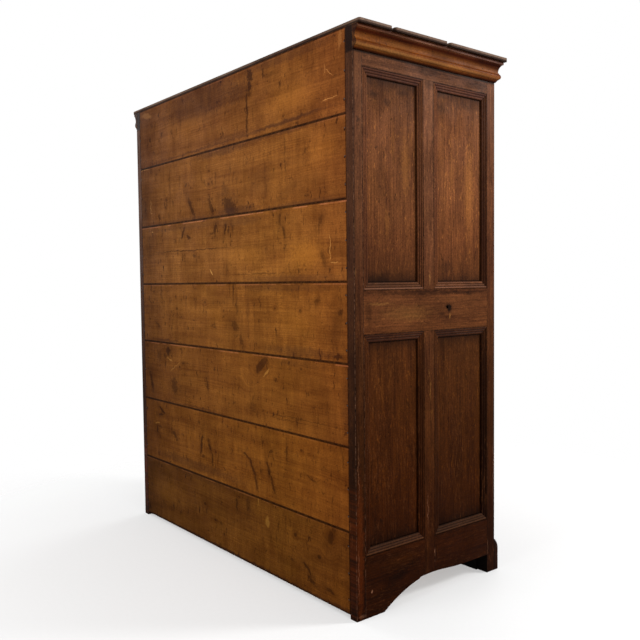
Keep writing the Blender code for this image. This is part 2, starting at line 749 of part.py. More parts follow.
def build_front_rails(materials, posts):
    """Frieze rail above the doors and base rail below them, tenoned into the front posts."""
    shoulders = (POST_FACE + FIT, CARCASS_WIDTH - POST_FACE - FIT)
    frieze_heights = (CORNICE_BOTTOM, CARCASS_TOP)
    base_heights = (BASE_RAIL_BOTTOM, FLOOR_UNDERSIDE - FIT)
    oak = materials["oak_frame"]
    pine = materials["pine_inside"]
    frieze_outline = rectangle(shoulders, frieze_heights)
    base_outline = rectangle(shoulders, base_heights)
    frieze = board("frieze_rail", FRONT_SHEET, frieze_outline, (0.0, FRIEZE_RAIL_DEPTH), oak)
    base = board("base_rail", FRONT_SHEET, base_outline, (0.0, BASE_RAIL_DEPTH), pine)
    depths = (FRONT_TENON_INSET, FRONT_TENON_INSET + FRONT_TENON_THICKNESS)
    for rail, heights in ((frieze, frieze_heights), (base, base_heights)):
        z_range = grow(heights, -FRONT_TENON_SHOULDER)
        left_span = (shoulders[0] - FRONT_TENON, shoulders[0] + PAST_FACE)
        right_span = (shoulders[1] - PAST_FACE, shoulders[1] + FRONT_TENON)
        tenon_joint(FRONT_SHEET, rail, posts[LEFT], left_span, z_range, depths)
        tenon_joint(FRONT_SHEET, rail, posts[RIGHT], right_span, z_range, depths)
    socket = door_sheet(LEFT).point(ROD_AT, ROD_DEPTH, CORNICE_BOTTOM)
    cut(frieze, cylinder("rod_socket", socket, UP, ROD_SOCKET_RADIUS, 2 * ROD_SOCKET_DEPTH, ROD_SIDES))


def housed_board(name, front, top, thickness, material, posts):
    """Level board from a front edge to the back boards, its corners housed in the four posts."""
    half = INNER_WIDTH / 2 + HOUSING_DEPTH
    rear = BACK_Y - BACK_BOARD_THICKNESS - FIT
    heights = (top - thickness, top)
    slab(name, rectangle((-half, half), (front, rear)), heights, material)
    room = rectangle((-half - FIT, half + FIT), (front - FIT, rear + PAST_FACE))
    housing = slab(f"housing_{name}", room, grow(heights, FIT))
    for post in posts:
        cut(post, housing)


def build_inside(materials, posts):
    """Floor and shelves."""
    pine = materials["pine_inside"]
    front = FRONT_Y + DOOR_THICKNESS + DOOR_STOP_GAP
    housed_board("floor_board", front, FLOOR_TOP, FLOOR_THICKNESS, pine, posts)
    for level, top in SHELF_TOPS.items():
        housed_board(f"shelf_{level}", FRONT_Y + SHELF_SETBACK, top, SHELF_THICKNESS, pine, posts)


def knuckle_spans(middle):
    """Height ranges of the lower, middle and upper knuckle of a hinge."""
    third = HINGE_HEIGHT / 3
    low = middle - HINGE_HEIGHT / 2
    return [
        (low, low + third - KNUCKLE_JOINT),
        (low + third, low + 2 * third),
        (low + 2 * third + KNUCKLE_JOINT, low + HINGE_HEIGHT),
    ]


def hinge_leaf(name, side, middle, edge_x, toward_gap, spans, material, parent=None):
    """Leaf let flush into an edge, with a tongue and a knuckle for each span of heights.

    toward_gap is the way out of the wood along x.
    """
    axis = Vector((side * HINGE_AXIS_X, HINGE_AXIS_Y, 0))
    x_range = sorted((edge_x - toward_gap * LEAF_THICKNESS, edge_x))
    plate = rectangle(x_range, (FRONT_Y, FRONT_Y + LEAF_WIDTH))
    half = HINGE_HEIGHT / 2
    leaf = slab(name, plate, (middle - half, middle + half), material, parent)
    tongue = rectangle(x_range, (axis.y, FRONT_Y + PAST_FACE))
    for number, span in enumerate(spans):
        unite(leaf, slab(f"{name}_tongue_{number}", tongue, span))
        centre = axis + UP * (span[0] + span[1]) / 2
        length = span[1] - span[0]
        knuckle_name = f"{name}_knuckle_{number}"
        unite(leaf, cylinder(knuckle_name, centre, UP, KNUCKLE_RADIUS, length, KNUCKLE_SIDES))
    return leaf


def cut_leaf_recess(target, edge_x, into_wood, middle):
    """Recess for a hinge leaf in the edge of a post or of a door."""
    x_range = sorted((edge_x + into_wood * (LEAF_THICKNESS + FIT), edge_x - into_wood * PAST_FACE))
    outline = rectangle(x_range, (FRONT_Y - PAST_FACE, FRONT_Y + LEAF_WIDTH + FIT))
    half = HINGE_HEIGHT / 2 + FIT
    cut(target, slab(f"recess_{target.name}_{middle:.3f}", outline, (middle - half, middle + half)))


def build_hinges(side, materials, pivot, post, door_frame):
    """Butt hinges of one door: leaves with their pins on the post, bored leaves on the door."""
    side_name = SIDE_NAMES[side]
    iron = materials["iron"]
    post_edge = side * INNER_WIDTH / 2
    door_edge = side * (INNER_WIDTH / 2 - DOOR_SIDE_GAP)
    middles = (DOOR_BOTTOM + HINGE_FROM_END, DOOR_TOP - HINGE_FROM_END)
    for level, middle in zip(HINGE_LEVELS, middles):
        name = f"{side_name}_{level}_hinge"
        low, centre_span, high = knuckle_spans(middle)
        axis = Vector((side * HINGE_AXIS_X, HINGE_AXIS_Y, middle))
        spans = (low, high)
        fixed = hinge_leaf(f"{name}_post_leaf", side, middle, post_edge, -side, spans, iron)
        pin_length = HINGE_HEIGHT + 2 * PIN_HEAD
        unite(fixed, cylinder(f"{name}_pin", axis, UP, HINGE_PIN_RADIUS, pin_length, KNUCKLE_SIDES))
        spans = (centre_span,)
        moving = hinge_leaf(f"{name}_door_leaf", side, middle, door_edge, side, spans, iron, pivot)
        bore_radius = (HINGE_PIN_RADIUS + HINGE_PIN_CLEARANCE) / math.cos(math.pi / KNUCKLE_SIDES)
        cut(moving, cylinder(f"{name}_bore", axis, UP, bore_radius, HINGE_HEIGHT, KNUCKLE_SIDES))
        cut_leaf_recess(post, post_edge, side, middle)
        cut_leaf_recess(door_frame, door_edge, -side, middle)


def build_door(side, materials, pivot):
    """Glued frame of one door with its two moulded panels; returns the frame."""
    name = f"{SIDE_NAMES[side]}_door"
    sheet = door_sheet(side)
    outline = rectangle((0.0, DOOR_WIDTH), (DOOR_BOTTOM, DOOR_TOP))
    frame = board(f"{name}_frame", sheet, outline, (0.0, DOOR_THICKNESS), materials["oak_frame"], pivot)
    u_range = (DOOR_STILE, DOOR_WIDTH - DOOR_STILE)
    heights = {
        "lower": (DOOR_BOTTOM + DOOR_BOTTOM_RAIL, MID_RAIL_BOTTOM),
        "upper": (MID_RAIL_TOP, DOOR_TOP - DOOR_TOP_RAIL),
    }
    panel_oak = materials["oak_panel"]
    for level, z_range in heights.items():
        through = (-PAST_FACE, DOOR_THICKNESS + PAST_FACE)
        cut(frame, board(f"{name}_{level}_window", sheet, rectangle(u_range, z_range), through))
        panel_name = f"{name}_panel_{level}"
        panel_in_grooves(panel_name, sheet, (u_range, z_range), (frame,), panel_oak, pivot)
    return frame


def cut_keyhole(door_frame, sheet):
    """Keyhole through the right door: a round hole with a slot below it for the key's bit."""
    centre = sheet.point(KEY_AT, DOOR_THICKNESS / 2, KEY_HEIGHT)
    length = DOOR_THICKNESS + 2 * PAST_FACE
    cut(door_frame, cylinder("keyhole", centre, sheet.inward, KEY_HOLE_RADIUS, length, KEY_SIDES))
    half = KEY_BIT_THICKNESS / 2 + KEY_STEM_CLEARANCE
    heights = (KEY_HEIGHT - KEY_BIT_RADIUS - KEY_STEM_CLEARANCE, KEY_HEIGHT)
    slot = rectangle((KEY_AT - half, KEY_AT + half), heights)
    cut(door_frame, board("keyhole_slot", sheet, slot, (-PAST_FACE, DOOR_THICKNESS + PAST_FACE)))


def build_lock(materials, pivot, door_frame):
    """Cupboard lock on the inside of the right door, with its bolt and its key."""
    sheet = door_sheet(RIGHT)
    face = DOOR_THICKNESS + FIT
    case_end = DOOR_WIDTH - LOCK_FROM_EDGE
    case_span = (case_end - LOCK_WIDTH, case_end)
    case_heights = (LOCK_MIDDLE - LOCK_HEIGHT / 2, LOCK_MIDDLE + LOCK_HEIGHT / 2)
    case_outline = rectangle(case_span, case_heights)
    iron = materials["iron"]
    case = board("lock_case", sheet, case_outline, (face, face + LOCK_DEPTH), iron, pivot)
    inside = rectangle(grow(case_span, -LOCK_WALL), grow(case_heights, -LOCK_WALL))
    cut(case, board("lock_inside", sheet, inside, (face - PAST_FACE, face + LOCK_DEPTH - LOCK_WALL)))

    bolt_end = case_end - LOCK_BOLT_SET_IN
    bolt_low = KEY_HEIGHT + LOCK_BOLT_ABOVE_KEY
    bolt_heights = (bolt_low, bolt_low + LOCK_BOLT_HEIGHT)
    bolt_depths = (face + LOCK_BOLT_FROM_DOOR, face + LOCK_BOLT_FROM_DOOR + LOCK_BOLT_THICKNESS)
    bolt_outline = rectangle((bolt_end - LOCK_BOLT_LENGTH, bolt_end), bolt_heights)
    bolt = board("lock_bolt", sheet, bolt_outline, bolt_depths, materials["brass"], pivot)
    slot_span = (case_end - LOCK_WALL - PAST_FACE, case_end + PAST_FACE)
    slot_outline = rectangle(slot_span, grow(bolt_heights, FIT))
    cut(case, board("lock_bolt_slot", sheet, slot_outline, grow(bolt_depths, FIT)))
    swing = KEY_BIT_RADIUS + KEY_BIT_CLEARANCE
    talon_span = (KEY_AT - swing - LOCK_BOLT_THROW, KEY_AT + swing)
    talon = rectangle(talon_span, (bolt_low - PAST_FACE, KEY_HEIGHT + swing))
    cut(bolt, board("lock_bolt_talon", sheet, talon, grow(bolt_depths, PAST_FACE)))
    cut_keyhole(door_frame, sheet)
    build_key(materials, sheet, pivot, face)


def build_key(materials, sheet, pivot, face):
    """Key in the lock, bit down, with an oval bow."""
    key_pivot = make_pivot("key_pivot", sheet.point(KEY_AT, 0.0, KEY_HEIGHT), pivot)
    bit_depths = (face + KEY_BIT_FROM_DOOR, face + KEY_BIT_FROM_DOOR + KEY_BIT_LENGTH)
    stem_end = bit_depths[1] + KEY_STEM_PAST_BIT
    collar_back = -KEY_COLLAR_FROM_DOOR
    stem_start = collar_back - KEY_COLLAR_LENGTH - KEY_COLLAR_OUT
    centre = sheet.point(KEY_AT, (stem_start + stem_end) / 2, KEY_HEIGHT)
    length = stem_end - stem_start
    iron = materials["iron"]
    inward = sheet.inward
    key = cylinder("key", centre, inward, KEY_STEM_RADIUS, length, KEY_SIDES, iron, key_pivot)
    collar_at = sheet.point(KEY_AT, collar_back - KEY_COLLAR_LENGTH / 2, KEY_HEIGHT)
    unite(key, cylinder("key_collar", collar_at, inward, KEY_COLLAR_RADIUS, KEY_COLLAR_LENGTH, KEY_SIDES))
    half = KEY_BIT_THICKNESS / 2
    bit = rectangle((KEY_AT - half, KEY_AT + half), (KEY_HEIGHT - KEY_BIT_RADIUS, KEY_HEIGHT))
    unite(key, board("key_bit", sheet, bit, bit_depths))
    bow_at = stem_start - KEY_BOW_LENGTH / 2 + KEY_BOW_BAR / 2
    half_length = KEY_BOW_LENGTH / 2
    half_width = KEY_BOW_WIDTH / 2
    unite(key, key_bow("key_bow", sheet, bow_at, half_length, half_width, KEY_BOW_THICKNESS))
    half_length -= KEY_BOW_BAR
    half_width -= KEY_BOW_BAR
    through = KEY_BOW_THICKNESS + 2 * PAST_FACE
    cut(key, key_bow("key_bow_hole", sheet, bow_at, half_length, half_width, through))


def key_bow(name, sheet, middle, half_length, half_width, thickness):
    """Upright oval disc in the plane of the key's axis."""
    bm = bmesh.new()
    points = []
    for step in range(KEY_BOW_SIDES):
        angle = 2 * math.pi * step / KEY_BOW_SIDES
        depth = middle + half_length * math.cos(angle)
        height = KEY_HEIGHT + half_width * math.sin(angle)
        points.append(sheet.point(KEY_AT - thickness / 2, depth, height))
    add_prism(bm, points, sheet.along * thickness)
    return finish_object(name, bm)


def build_rod_bolt(materials, pivot, door_frame):
    """Rod that slides in the left door's meeting stile and shoots up into the frieze rail."""
    sheet = door_sheet(LEFT)
    rod_top = DOOR_TOP - ROD_BELOW_TOP
    rod_middle = sheet.point(ROD_AT, ROD_DEPTH, rod_top - ROD_LENGTH / 2)
    iron = materials["iron"]
    rod = cylinder("left_bolt_rod", rod_middle, UP, ROD_RADIUS, ROD_LENGTH, ROD_SIDES, iron, pivot)
    knob_length = DOOR_THICKNESS + ROD_KNOB_OUT - ROD_DEPTH
    knob_height = DOOR_TOP - ROD_KNOB_BELOW_TOP
    knob_middle = sheet.point(ROD_AT, ROD_DEPTH + knob_length / 2, knob_height)
    unite(rod, cylinder("rod_knob", knob_middle, sheet.inward, ROD_KNOB_RADIUS, knob_length, ROD_SIDES))

    bore_top = DOOR_TOP + PAST_FACE
    bore_bottom = rod_top - ROD_LENGTH - FIT
    bore_middle = sheet.point(ROD_AT, ROD_DEPTH, (bore_top + bore_bottom) / 2)
    bore_radius = (ROD_RADIUS + ROD_CLEARANCE) / math.cos(math.pi / ROD_SIDES)
    cut(door_frame, cylinder("rod_bore", bore_middle, UP, bore_radius, bore_top - bore_bottom, ROD_SIDES))
    half = ROD_KNOB_RADIUS + ROD_CLEARANCE
    slot = rectangle((ROD_AT - half, ROD_AT + half), (knob_height - half, knob_height + half + ROD_THROW))
    cut(door_frame, board("rod_slot", sheet, slot, (ROD_DEPTH, DOOR_THICKNESS + PAST_FACE)))


def build_doors(materials, front_posts):
    """Both doors with their hinges, the lock in the right one and the rod bolt in the left one."""
    pivots = {}
    frames = {}
    for side, side_name in SIDE_NAMES.items():
        pivots[side] = make_pivot(f"{side_name}_door_pivot", (side * HINGE_AXIS_X, HINGE_AXIS_Y, 0))
        frames[side] = build_door(side, materials, pivots[side])
        build_hinges(side, materials, pivots[side], front_posts[side], frames[side])
    build_lock(materials, pivots[RIGHT], frames[RIGHT])
    build_rod_bolt(materials, pivots[LEFT], frames[LEFT])


def main():
    """Build the whole cupboard."""
    clear_scene()
    materials = make_materials()
    rear_posts = {}
    front_posts = {}
    for side in SIDE_NAMES:
        rear_posts[side], front_posts[side] = build_end(side, materials)
    build_back(materials)
    build_top(materials)
    build_cornice(materials)
    build_plinth(materials)
    build_front_rails(materials, front_posts)
    build_inside(materials, [*rear_posts.values(), *front_posts.values()])
    build_doors(materials, front_posts)


main()
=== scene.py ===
"""Looks of the oak cupboard: its finishes, small fastenings, camera, light and floor.

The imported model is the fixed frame, in metres, +Z up, with the doors towards -Y. The camera stands
behind the cupboard and sees its back and its left end.
"""

import logging
import math
from dataclasses import dataclass
from enum import Enum
from itertools import product
from typing import Dict, Iterable, List, Optional, Sequence, Tuple, Union

import bpy
from mathutils import Matrix, Vector


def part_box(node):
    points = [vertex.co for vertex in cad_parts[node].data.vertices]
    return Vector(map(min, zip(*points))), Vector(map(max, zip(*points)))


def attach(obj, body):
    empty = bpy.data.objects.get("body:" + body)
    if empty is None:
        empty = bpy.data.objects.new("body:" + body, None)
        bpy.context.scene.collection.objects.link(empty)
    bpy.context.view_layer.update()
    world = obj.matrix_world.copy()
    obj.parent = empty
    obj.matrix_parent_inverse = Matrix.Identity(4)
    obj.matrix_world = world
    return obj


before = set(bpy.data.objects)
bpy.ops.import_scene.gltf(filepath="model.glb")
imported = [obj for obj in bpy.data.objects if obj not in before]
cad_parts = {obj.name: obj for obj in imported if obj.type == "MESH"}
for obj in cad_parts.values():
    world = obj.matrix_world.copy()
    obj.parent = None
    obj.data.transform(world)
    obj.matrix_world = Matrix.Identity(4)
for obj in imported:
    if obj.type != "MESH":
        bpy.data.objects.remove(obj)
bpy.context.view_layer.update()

log = logging.getLogger("cupboard")

Socket = bpy.types.NodeSocket
Tree = bpy.types.NodeTree
Material = bpy.types.Material
Value = Union[float, Socket]
Colour = Tuple[float, float, float]
Place = Tuple[float, float, float]
Span = Sequence[float]
Box = Tuple[Vector, Vector]
Stops = Tuple[Tuple[float, float, float, float], ...]
Rows = Tuple[Tuple[float, ...], ...]

HEIGHT = 1.9
HALF_WIDTH = 0.7635
REAR = 0.362
FRONT = -0.328
FACING_REAR = Matrix.Rotation(math.radians(-90), 4, "X")
FACING_FRONT = Matrix.Rotation(math.radians(90), 4, "X")


class Axis(Enum):
    """Direction of the part's frame."""

    X = 0
    Y = 1
    Z = 2


class Side(Enum):
    """Side of the cupboard, as someone who faces the doors sees it; the value is the sign of x."""

    LEFT = -1
    RIGHT = 1

    @property
    def label(self) -> str:
        """Word for this side in the pieces' names."""
        return self.name.lower()


def tone(*levels: float) -> Colour:
    """Linear colour from the red, green and blue that a screen shows, each from 0 to 255."""
    shares = [level / 255 for level in levels]
    return tuple(share / 12.92 if share <= 0.04045 else ((share + 0.055) / 1.055) ** 2.4 for share in shares)


def grey(level: float) -> Colour:
    """Neutral colour of that linear level."""
    return (level, level, level)


class Graph:
    """Node tree of a material, world or group, with one short call for each kind of node."""

    def __init__(self, tree: Tree) -> None:
        """Start on the tree that the calls add to."""
        self.tree = tree

    def add(self, kind: str, *values: object, **settings: object) -> bpy.types.Node:
        """New node.

        Args:
            kind: Blender's name of its type, without ShaderNode.
            *values: Values of its first inputs.
            **settings: Its properties.

        Returns:
            The node.
        """
        node = self.tree.nodes.new("ShaderNode" + kind)
        for name, value in settings.items():
            setattr(node, name, value)
        for socket, value in zip(node.inputs, values):
            self.feed(socket, value)
        return node

    def feed(self, socket: Socket, value: object) -> None:
        """Link a socket to another one, or give it a plain value.

        Args:
            socket: Input to feed.
            value: Output socket, number, colour or vector.
        """
        if isinstance(value, Socket):
            self.tree.links.new(value, socket)
        elif socket.type == "RGBA":
            socket.default_value = (*value, 1.0)
        else:
            socket.default_value = value

    def fill(self, sockets: Sequence[Socket], **values: object) -> None:
        """Feed sockets by their names, with _ for a space."""
        for name, value in values.items():
            self.feed(sockets[name.replace("_", " ")], value)

    def math(self, operation: str, *values: Value) -> Socket:
        """Math node on numbers or sockets."""
        return self.add("Math", *values, operation=operation).outputs[0]

    def times(self, first: Value, second: Value) -> Socket:
        """Product of two values."""
        return self.math("MULTIPLY", first, second)

    def plus(self, first: Value, second: Value) -> Socket:
        """Sum of two values."""
        return self.math("ADD", first, second)

    def minus(self, first: Value, second: Value) -> Socket:
        """Difference of two values."""
        return self.math("SUBTRACT", first, second)

    def least(self, first: Value, second: Value) -> Socket:
        """Smaller of two values."""
        return self.math("MINIMUM", first, second)

    def most(self, first: Optional[Value], second: Value) -> Socket:
        """Greater of two values, or the second where there is no first one yet."""
        return second if first is None else self.math("MAXIMUM", first, second)

    def vector(self, operation: str, *values: object) -> Socket:
        """Vector Math node; LENGTH gives its number."""
        node = self.add("VectorMath", *values, operation=operation)
        return node.outputs["Value" if operation == "LENGTH" else "Vector"]

    def scaled(self, vector: object, share: Value) -> Socket:
        """Vector times a number.

        Args:
            vector: The vector.
            share: The number.

        Returns:
            Their product.
        """
        node = self.add("VectorMath", vector, operation="SCALE")
        self.fill(node.inputs, Scale=share)
        return node.outputs[0]

    def split(self, vector: Socket) -> Sequence[Socket]:
        """The three components of a vector."""
        return list(self.add("SeparateXYZ", vector).outputs)

    def join(self, x: Value, y: Value, z: Value) -> Socket:
        """Vector of three components."""
        return self.add("CombineXYZ", x, y, z).outputs[0]

    def step(self, value: Value, low: float, high: float, start: float = 0.0, end: float = 1.0) -> Socket:
        """Smooth step of a value between low and high, from start to end."""
        node = self.add("MapRange", value, low, high, start, end, interpolation_type="SMOOTHSTEP")
        return node.outputs[0]

    def fall(self, value: Value, low: float, high: float, start: float = 1.0) -> Socket:
        """Smooth step of a value between low and high, from start down to 0."""
        return self.step(value, low, high, start, 0.0)

    def noise(self, vector: Socket, scale: object, detail: float = 2.0, rough: float = 0.5) -> Socket:
        """Noise from 0 to 1.

        Args:
            vector: Place in metres.
            scale: Waves a metre, as one number or one for each axis.
            detail: Octaves.
            rough: Share of each finer octave.

        Returns:
            The noise.
        """
        if isinstance(scale, tuple):
            vector, scale = self.vector("MULTIPLY", vector, scale), 1.0
        node = self.add("TexNoise")
        self.fill(node.inputs, Vector=vector, Scale=scale, Detail=detail, Roughness=rough)
        return node.outputs[0]

    def waver(self, size: Value, vector: Socket, *look: object) -> Socket:
        """Noise round zero of that size; the look is its scale, detail and roughness."""
        return self.times(self.minus(self.noise(vector, *look), 0.5), size)

    def mix(self, share: Value, first: object, second: object, blend: str = "MIX") -> Socket:
        """Mix of two colours.

        Args:
            share: Share of the second colour.
            first: Colour that is there.
            second: Colour laid over it.
            blend: How the two are blended.

        Returns:
            The mixed colour.
        """
        node = self.add("Mix", share, data_type="RGBA", blend_type=blend)
        self.feed(node.inputs[6], first)
        self.feed(node.inputs[7], second)
        return node.outputs[2]

    def ramp(self, value: Socket, stops: Stops) -> Socket:
        """Colour ramp.

        Args:
            value: Place on the ramp, from 0 to 1.
            stops: Place, red, green and blue of each stop.

        Returns:
            The colour.
        """
        node = self.add("ValToRGB", value)
        items = node.color_ramp.elements
        while len(items) < len(stops):
            items.new(0.5)
        for item, (place, *colour) in zip(items, stops):
            item.position = place
            item.color = (*colour, 1.0)
        return node.outputs[0]

    def group(self, tree: Tree, **values: object) -> bpy.types.Node:
        """Node of a group, with its inputs by name.

        Args:
            tree: The group's node tree.
            **values: What feeds its inputs, by their names.

        Returns:
            The node.
        """
        node = self.add("Group", node_tree=tree)
        self.fill(node.inputs, **values)
        return node


class EffectGroup(Graph):
    """Shader node group that several materials share."""

    def __init__(self, name: str, vectors: str, numbers: str, results: str) -> None:
        """Make an empty group with its sockets.

        Args:
            name: Name of the group.
            vectors: Names of the inputs that are vectors.
            numbers: Names of the inputs that are numbers, which follow.
            results: Names of the outputs; Vector is a vector and the others are numbers.
        """
        super().__init__(bpy.data.node_groups.new(name, "ShaderNodeTree"))
        sockets = [(label, "INPUT", "Vector") for label in vectors.split()]
        sockets += [(label, "INPUT", "Float") for label in numbers.split()]
        sockets += [(label, "OUTPUT", "Vector" if label == "Vector" else "Float") for label in results.split()]
        for label, way, kind in sockets:
            self.tree.interface.new_socket(label, in_out=way, socket_type="NodeSocket" + kind)
        self.given = list(self.tree.nodes.new("NodeGroupInput").outputs)[:-1]
        self.results = self.tree.nodes.new("NodeGroupOutput").inputs

    def put(self, **values: object) -> None:
        """Feed the outputs by their names."""
        self.fill(self.results, **values)

    def oval(self, offset: Socket, half: Socket, tilt: Socket) -> Socket:
        """Distance from an oval's middle, which is 1 on its rim.

        Args:
            offset: Way from the middle.
            half: Half the oval's width and height.
            tilt: How far it is turned on the face, in radians.

        Returns:
            The distance.
        """
        turned = self.add("VectorRotate", rotation_type="Z_AXIS")
        self.fill(turned.inputs, Vector=offset, Angle=tilt)
        return self.vector("LENGTH", self.vector("DIVIDE", turned.outputs[0], half))


class Effects:
    """All shared effects, each built once."""

    def __init__(self) -> None:
        """Build every group."""
        self.grain = self._grain()
        self.blotch = self._blotch()
        self.edges = self._edges()
        self.mark = self._mark()
        self.knot = self._knot()
        self.zones = self._zones()

    @staticmethod
    def _grain() -> Tree:
        """Growth rings, fibres, pores, flecks, saw tracks and specks of dirt; x runs along the grain.

        Returns:
            The group's node tree.
        """
        g = EffectGroup("wood_grain", "Vector Pith", "Spacing Wander Seed", "Rings Fibres Pores Flecks Tracks Specks")
        vector, pith, spacing, wander, seed = g.given
        place = g.vector("ADD", vector, g.scaled((7.3, 3.1, 5.7), seed))

        def figure(along: float, across: float, detail: float, rough: float = 0.5) -> Socket:
            """Noise with so many waves a metre along and across the grain."""
            return g.noise(place, (along, across, across), detail, rough)

        ripple = g.times(g.minus(figure(5.0, 24.0, 2.0), 0.5), 0.12)
        sway = g.times(g.plus(g.minus(figure(0.8, 2.6, 2.0), 0.5), ripple), wander)
        _, across, into = g.split(g.vector("SUBTRACT", vector, pith))
        turn = g.math("DIVIDE", g.vector("LENGTH", g.join(0.0, g.plus(across, sway), into)), spacing)
        uneven = g.noise(g.join(turn, 0.0, seed), 0.37, 1.0)
        ring = g.math("FRACT", g.plus(turn, g.times(uneven, 1.6)))
        late = g.times(g.step(ring, 0.25, 0.90), g.fall(ring, 0.93, 1.0))
        spots = g.step(figure(26.0, 42.0, 5.0, 0.68), 0.61, 0.70)
        g.put(Rings=g.times(late, g.step(figure(2.0, 9.0, 1.0), 0.2, 0.7, 0.35, 1.0)),
              Fibres=figure(5.0, 150.0, 4.0, 0.68),
              Pores=g.step(figure(28.0, 250.0, 2.0), 0.58, 0.70),
              Flecks=g.step(figure(38.0, 125.0, 5.0, 0.7), 0.56, 0.66),
              Tracks=figure(95.0, 16.0, 4.0, 0.68),
              Specks=g.most(g.step(figure(110.0, 150.0, 5.0, 0.7), 0.58, 0.70), g.times(spots, 0.9)))
        return g.tree

    @staticmethod
    def _blotch() -> Tree:
        """Uneven stain, from 0 to 1.

        Returns:
            The group's node tree.
        """
        g = EffectGroup("uneven_stain", "Vector Scale", "Seed", "Mask")
        vector, scale, seed = g.given
        place = g.vector("ADD", g.vector("MULTIPLY", vector, scale), g.join(seed, seed, 0.0))
        g.put(Mask=g.step(g.noise(place, 1.0, 4.0, 0.55), 0.32, 0.68))
        return g.tree

    @staticmethod
    def _edges() -> Tree:
        """Broken line along the arrises of a squared board, by its lowest and highest corners.

        Returns:
            The group's node tree.
        """
        g = EffectGroup("worn_arrises", "Vector Low High", "Reach", "Wear Near")
        vector, low, high, reach = g.given
        gaps = g.vector("MINIMUM", g.vector("SUBTRACT", vector, low), g.vector("SUBTRACT", high, vector))
        x, y, z = g.split(gaps)
        middle = g.most(g.least(x, y), g.least(g.most(x, y), z))
        share = g.math("DIVIDE", middle, reach)
        ragged = g.plus(share, g.times(g.noise(vector, 55.0, 4.0, 0.65), 2.2))
        g.put(Wear=g.fall(ragged, 0.95, 1.5), Near=g.fall(share, 0.2, 1.0))
        return g.tree

    @staticmethod
    def _mark() -> Tree:
        """Soft or ragged oval mark on a face.

        Returns:
            The group's node tree.
        """
        g = EffectGroup("oval_mark", "Vector Centre Half", "Tilt Ragged Soft", "Mask Halo")
        vector, centre, half, tilt, ragged, soft = g.given
        reach = g.oval(g.vector("SUBTRACT", vector, centre), half, tilt)
        reach = g.plus(reach, g.waver(ragged, vector, 90.0, 3.0, 0.6))
        share = g.math("DIVIDE", g.minus(reach, g.minus(1.0, soft)), soft)
        g.put(Mask=g.fall(share, 0.0, 1.0), Halo=g.fall(reach, 0.5, 2.1))
        return g.tree

    @staticmethod
    def _knot() -> Tree:
        """Knot with its halo; the grain passes round it.

        Returns:
            The group's node tree.
        """
        g = EffectGroup("knot", "Vector Centre Half", "Tilt", "Vector Core Halo")
        vector, centre, half, tilt = g.given
        offset = g.vector("MULTIPLY", g.vector("SUBTRACT", vector, centre), (1.0, 1.0, 0.0))
        reach = g.oval(offset, half, tilt)
        halo = g.fall(reach, 0.8, 4.0)
        pull = g.scaled(g.vector("MULTIPLY", offset, (0.0, -0.8, 0.0)), halo)
        uneven = g.plus(reach, g.waver(0.5, vector, 70.0, 2.0))
        g.put(Vector=g.vector("ADD", vector, pull), Core=g.fall(uneven, 0.65, 1.1), Halo=halo)
        return g.tree

    @staticmethod
    def _zones() -> Tree:
        """Moulding, mitres, joints, inner corners and sheltered ends of a panel, by its opening on the face.

        Returns:
            The group's node tree.
        """
        g = EffectGroup("panel_zones", "Vector Low High", "Width", "Moulding Mitre Level Corner Groove Shelter")
        vector, low, high, width = g.given
        left, bottom, _ = g.split(g.vector("SUBTRACT", vector, low))
        right, top, _ = g.split(g.vector("SUBTRACT", high, vector))
        across, up = g.least(left, right), g.least(bottom, top)
        edge = g.least(across, up)
        past = g.minus(edge, width)
        moulding = g.fall(past, -0.0002, 0.0002)
        field = g.minus(1.0, moulding)
        spread = g.math("ABSOLUTE", g.minus(across, up))
        reed = g.math("PINGPONG", edge, g.math("DIVIDE", width, 6.0))
        groove = g.times(moulding, g.fall(reed, 0.0003, 0.0023, 0.75))
        ragged = g.plus(up, g.times(g.noise(vector, 40.0, 3.0), -0.03))
        shelter = g.plus(g.fall(ragged, 0.005, 0.055, 0.55), g.fall(ragged, 0.0, 0.17, 0.45))
        g.put(Moulding=moulding, Mitre=g.times(moulding, g.fall(spread, 0.0003, 0.0011)),
              Level=g.math("LESS_THAN", up, across), Corner=g.times(g.fall(past, 0.0005, 0.0065), field),
              Groove=g.most(groove, g.fall(edge, 0.0008, 0.0036)), Shelter=g.times(shelter, field))
        return g.tree


@dataclass(frozen=True)
class Mark:
    """Knot, stain or scratch on a face, in metres and degrees along the face's two axes."""

    across: float
    up: float
    width: float
    height: float
    strength: float = 1.0
    tilt: float = 0.0

    def shape(self, grown: float = 1.0) -> Dict[str, object]:
        """Inputs of the effect that draws it, at so many times its size."""
        half = (self.width * grown / 2, self.height * grown / 2, 1.0)
        return {"Centre": (self.across, self.up, 0.0), "Half": half, "Tilt": math.radians(self.tilt)}


def marks_from(edge: float, rows: Rows) -> List[Mark]:
    """Marks that were measured in millimetres on a face.

    Args:
        edge: Where the viewer's left edge of the face lies.
        rows: Distance from that edge and from the top, width, height, strength, and tilt in degrees
            anticlockwise as seen.

    Returns:
        The marks in the part's frame.
    """
    return [Mark(edge - across / 1000, HEIGHT - down / 1000, width / 1000, height / 1000, *look)
            for across, down, width, height, *look in rows]


def dress(name: str, material: Material) -> None:
    """Give a CAD node its material."""
    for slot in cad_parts[name].material_slots:
        slot.material = material


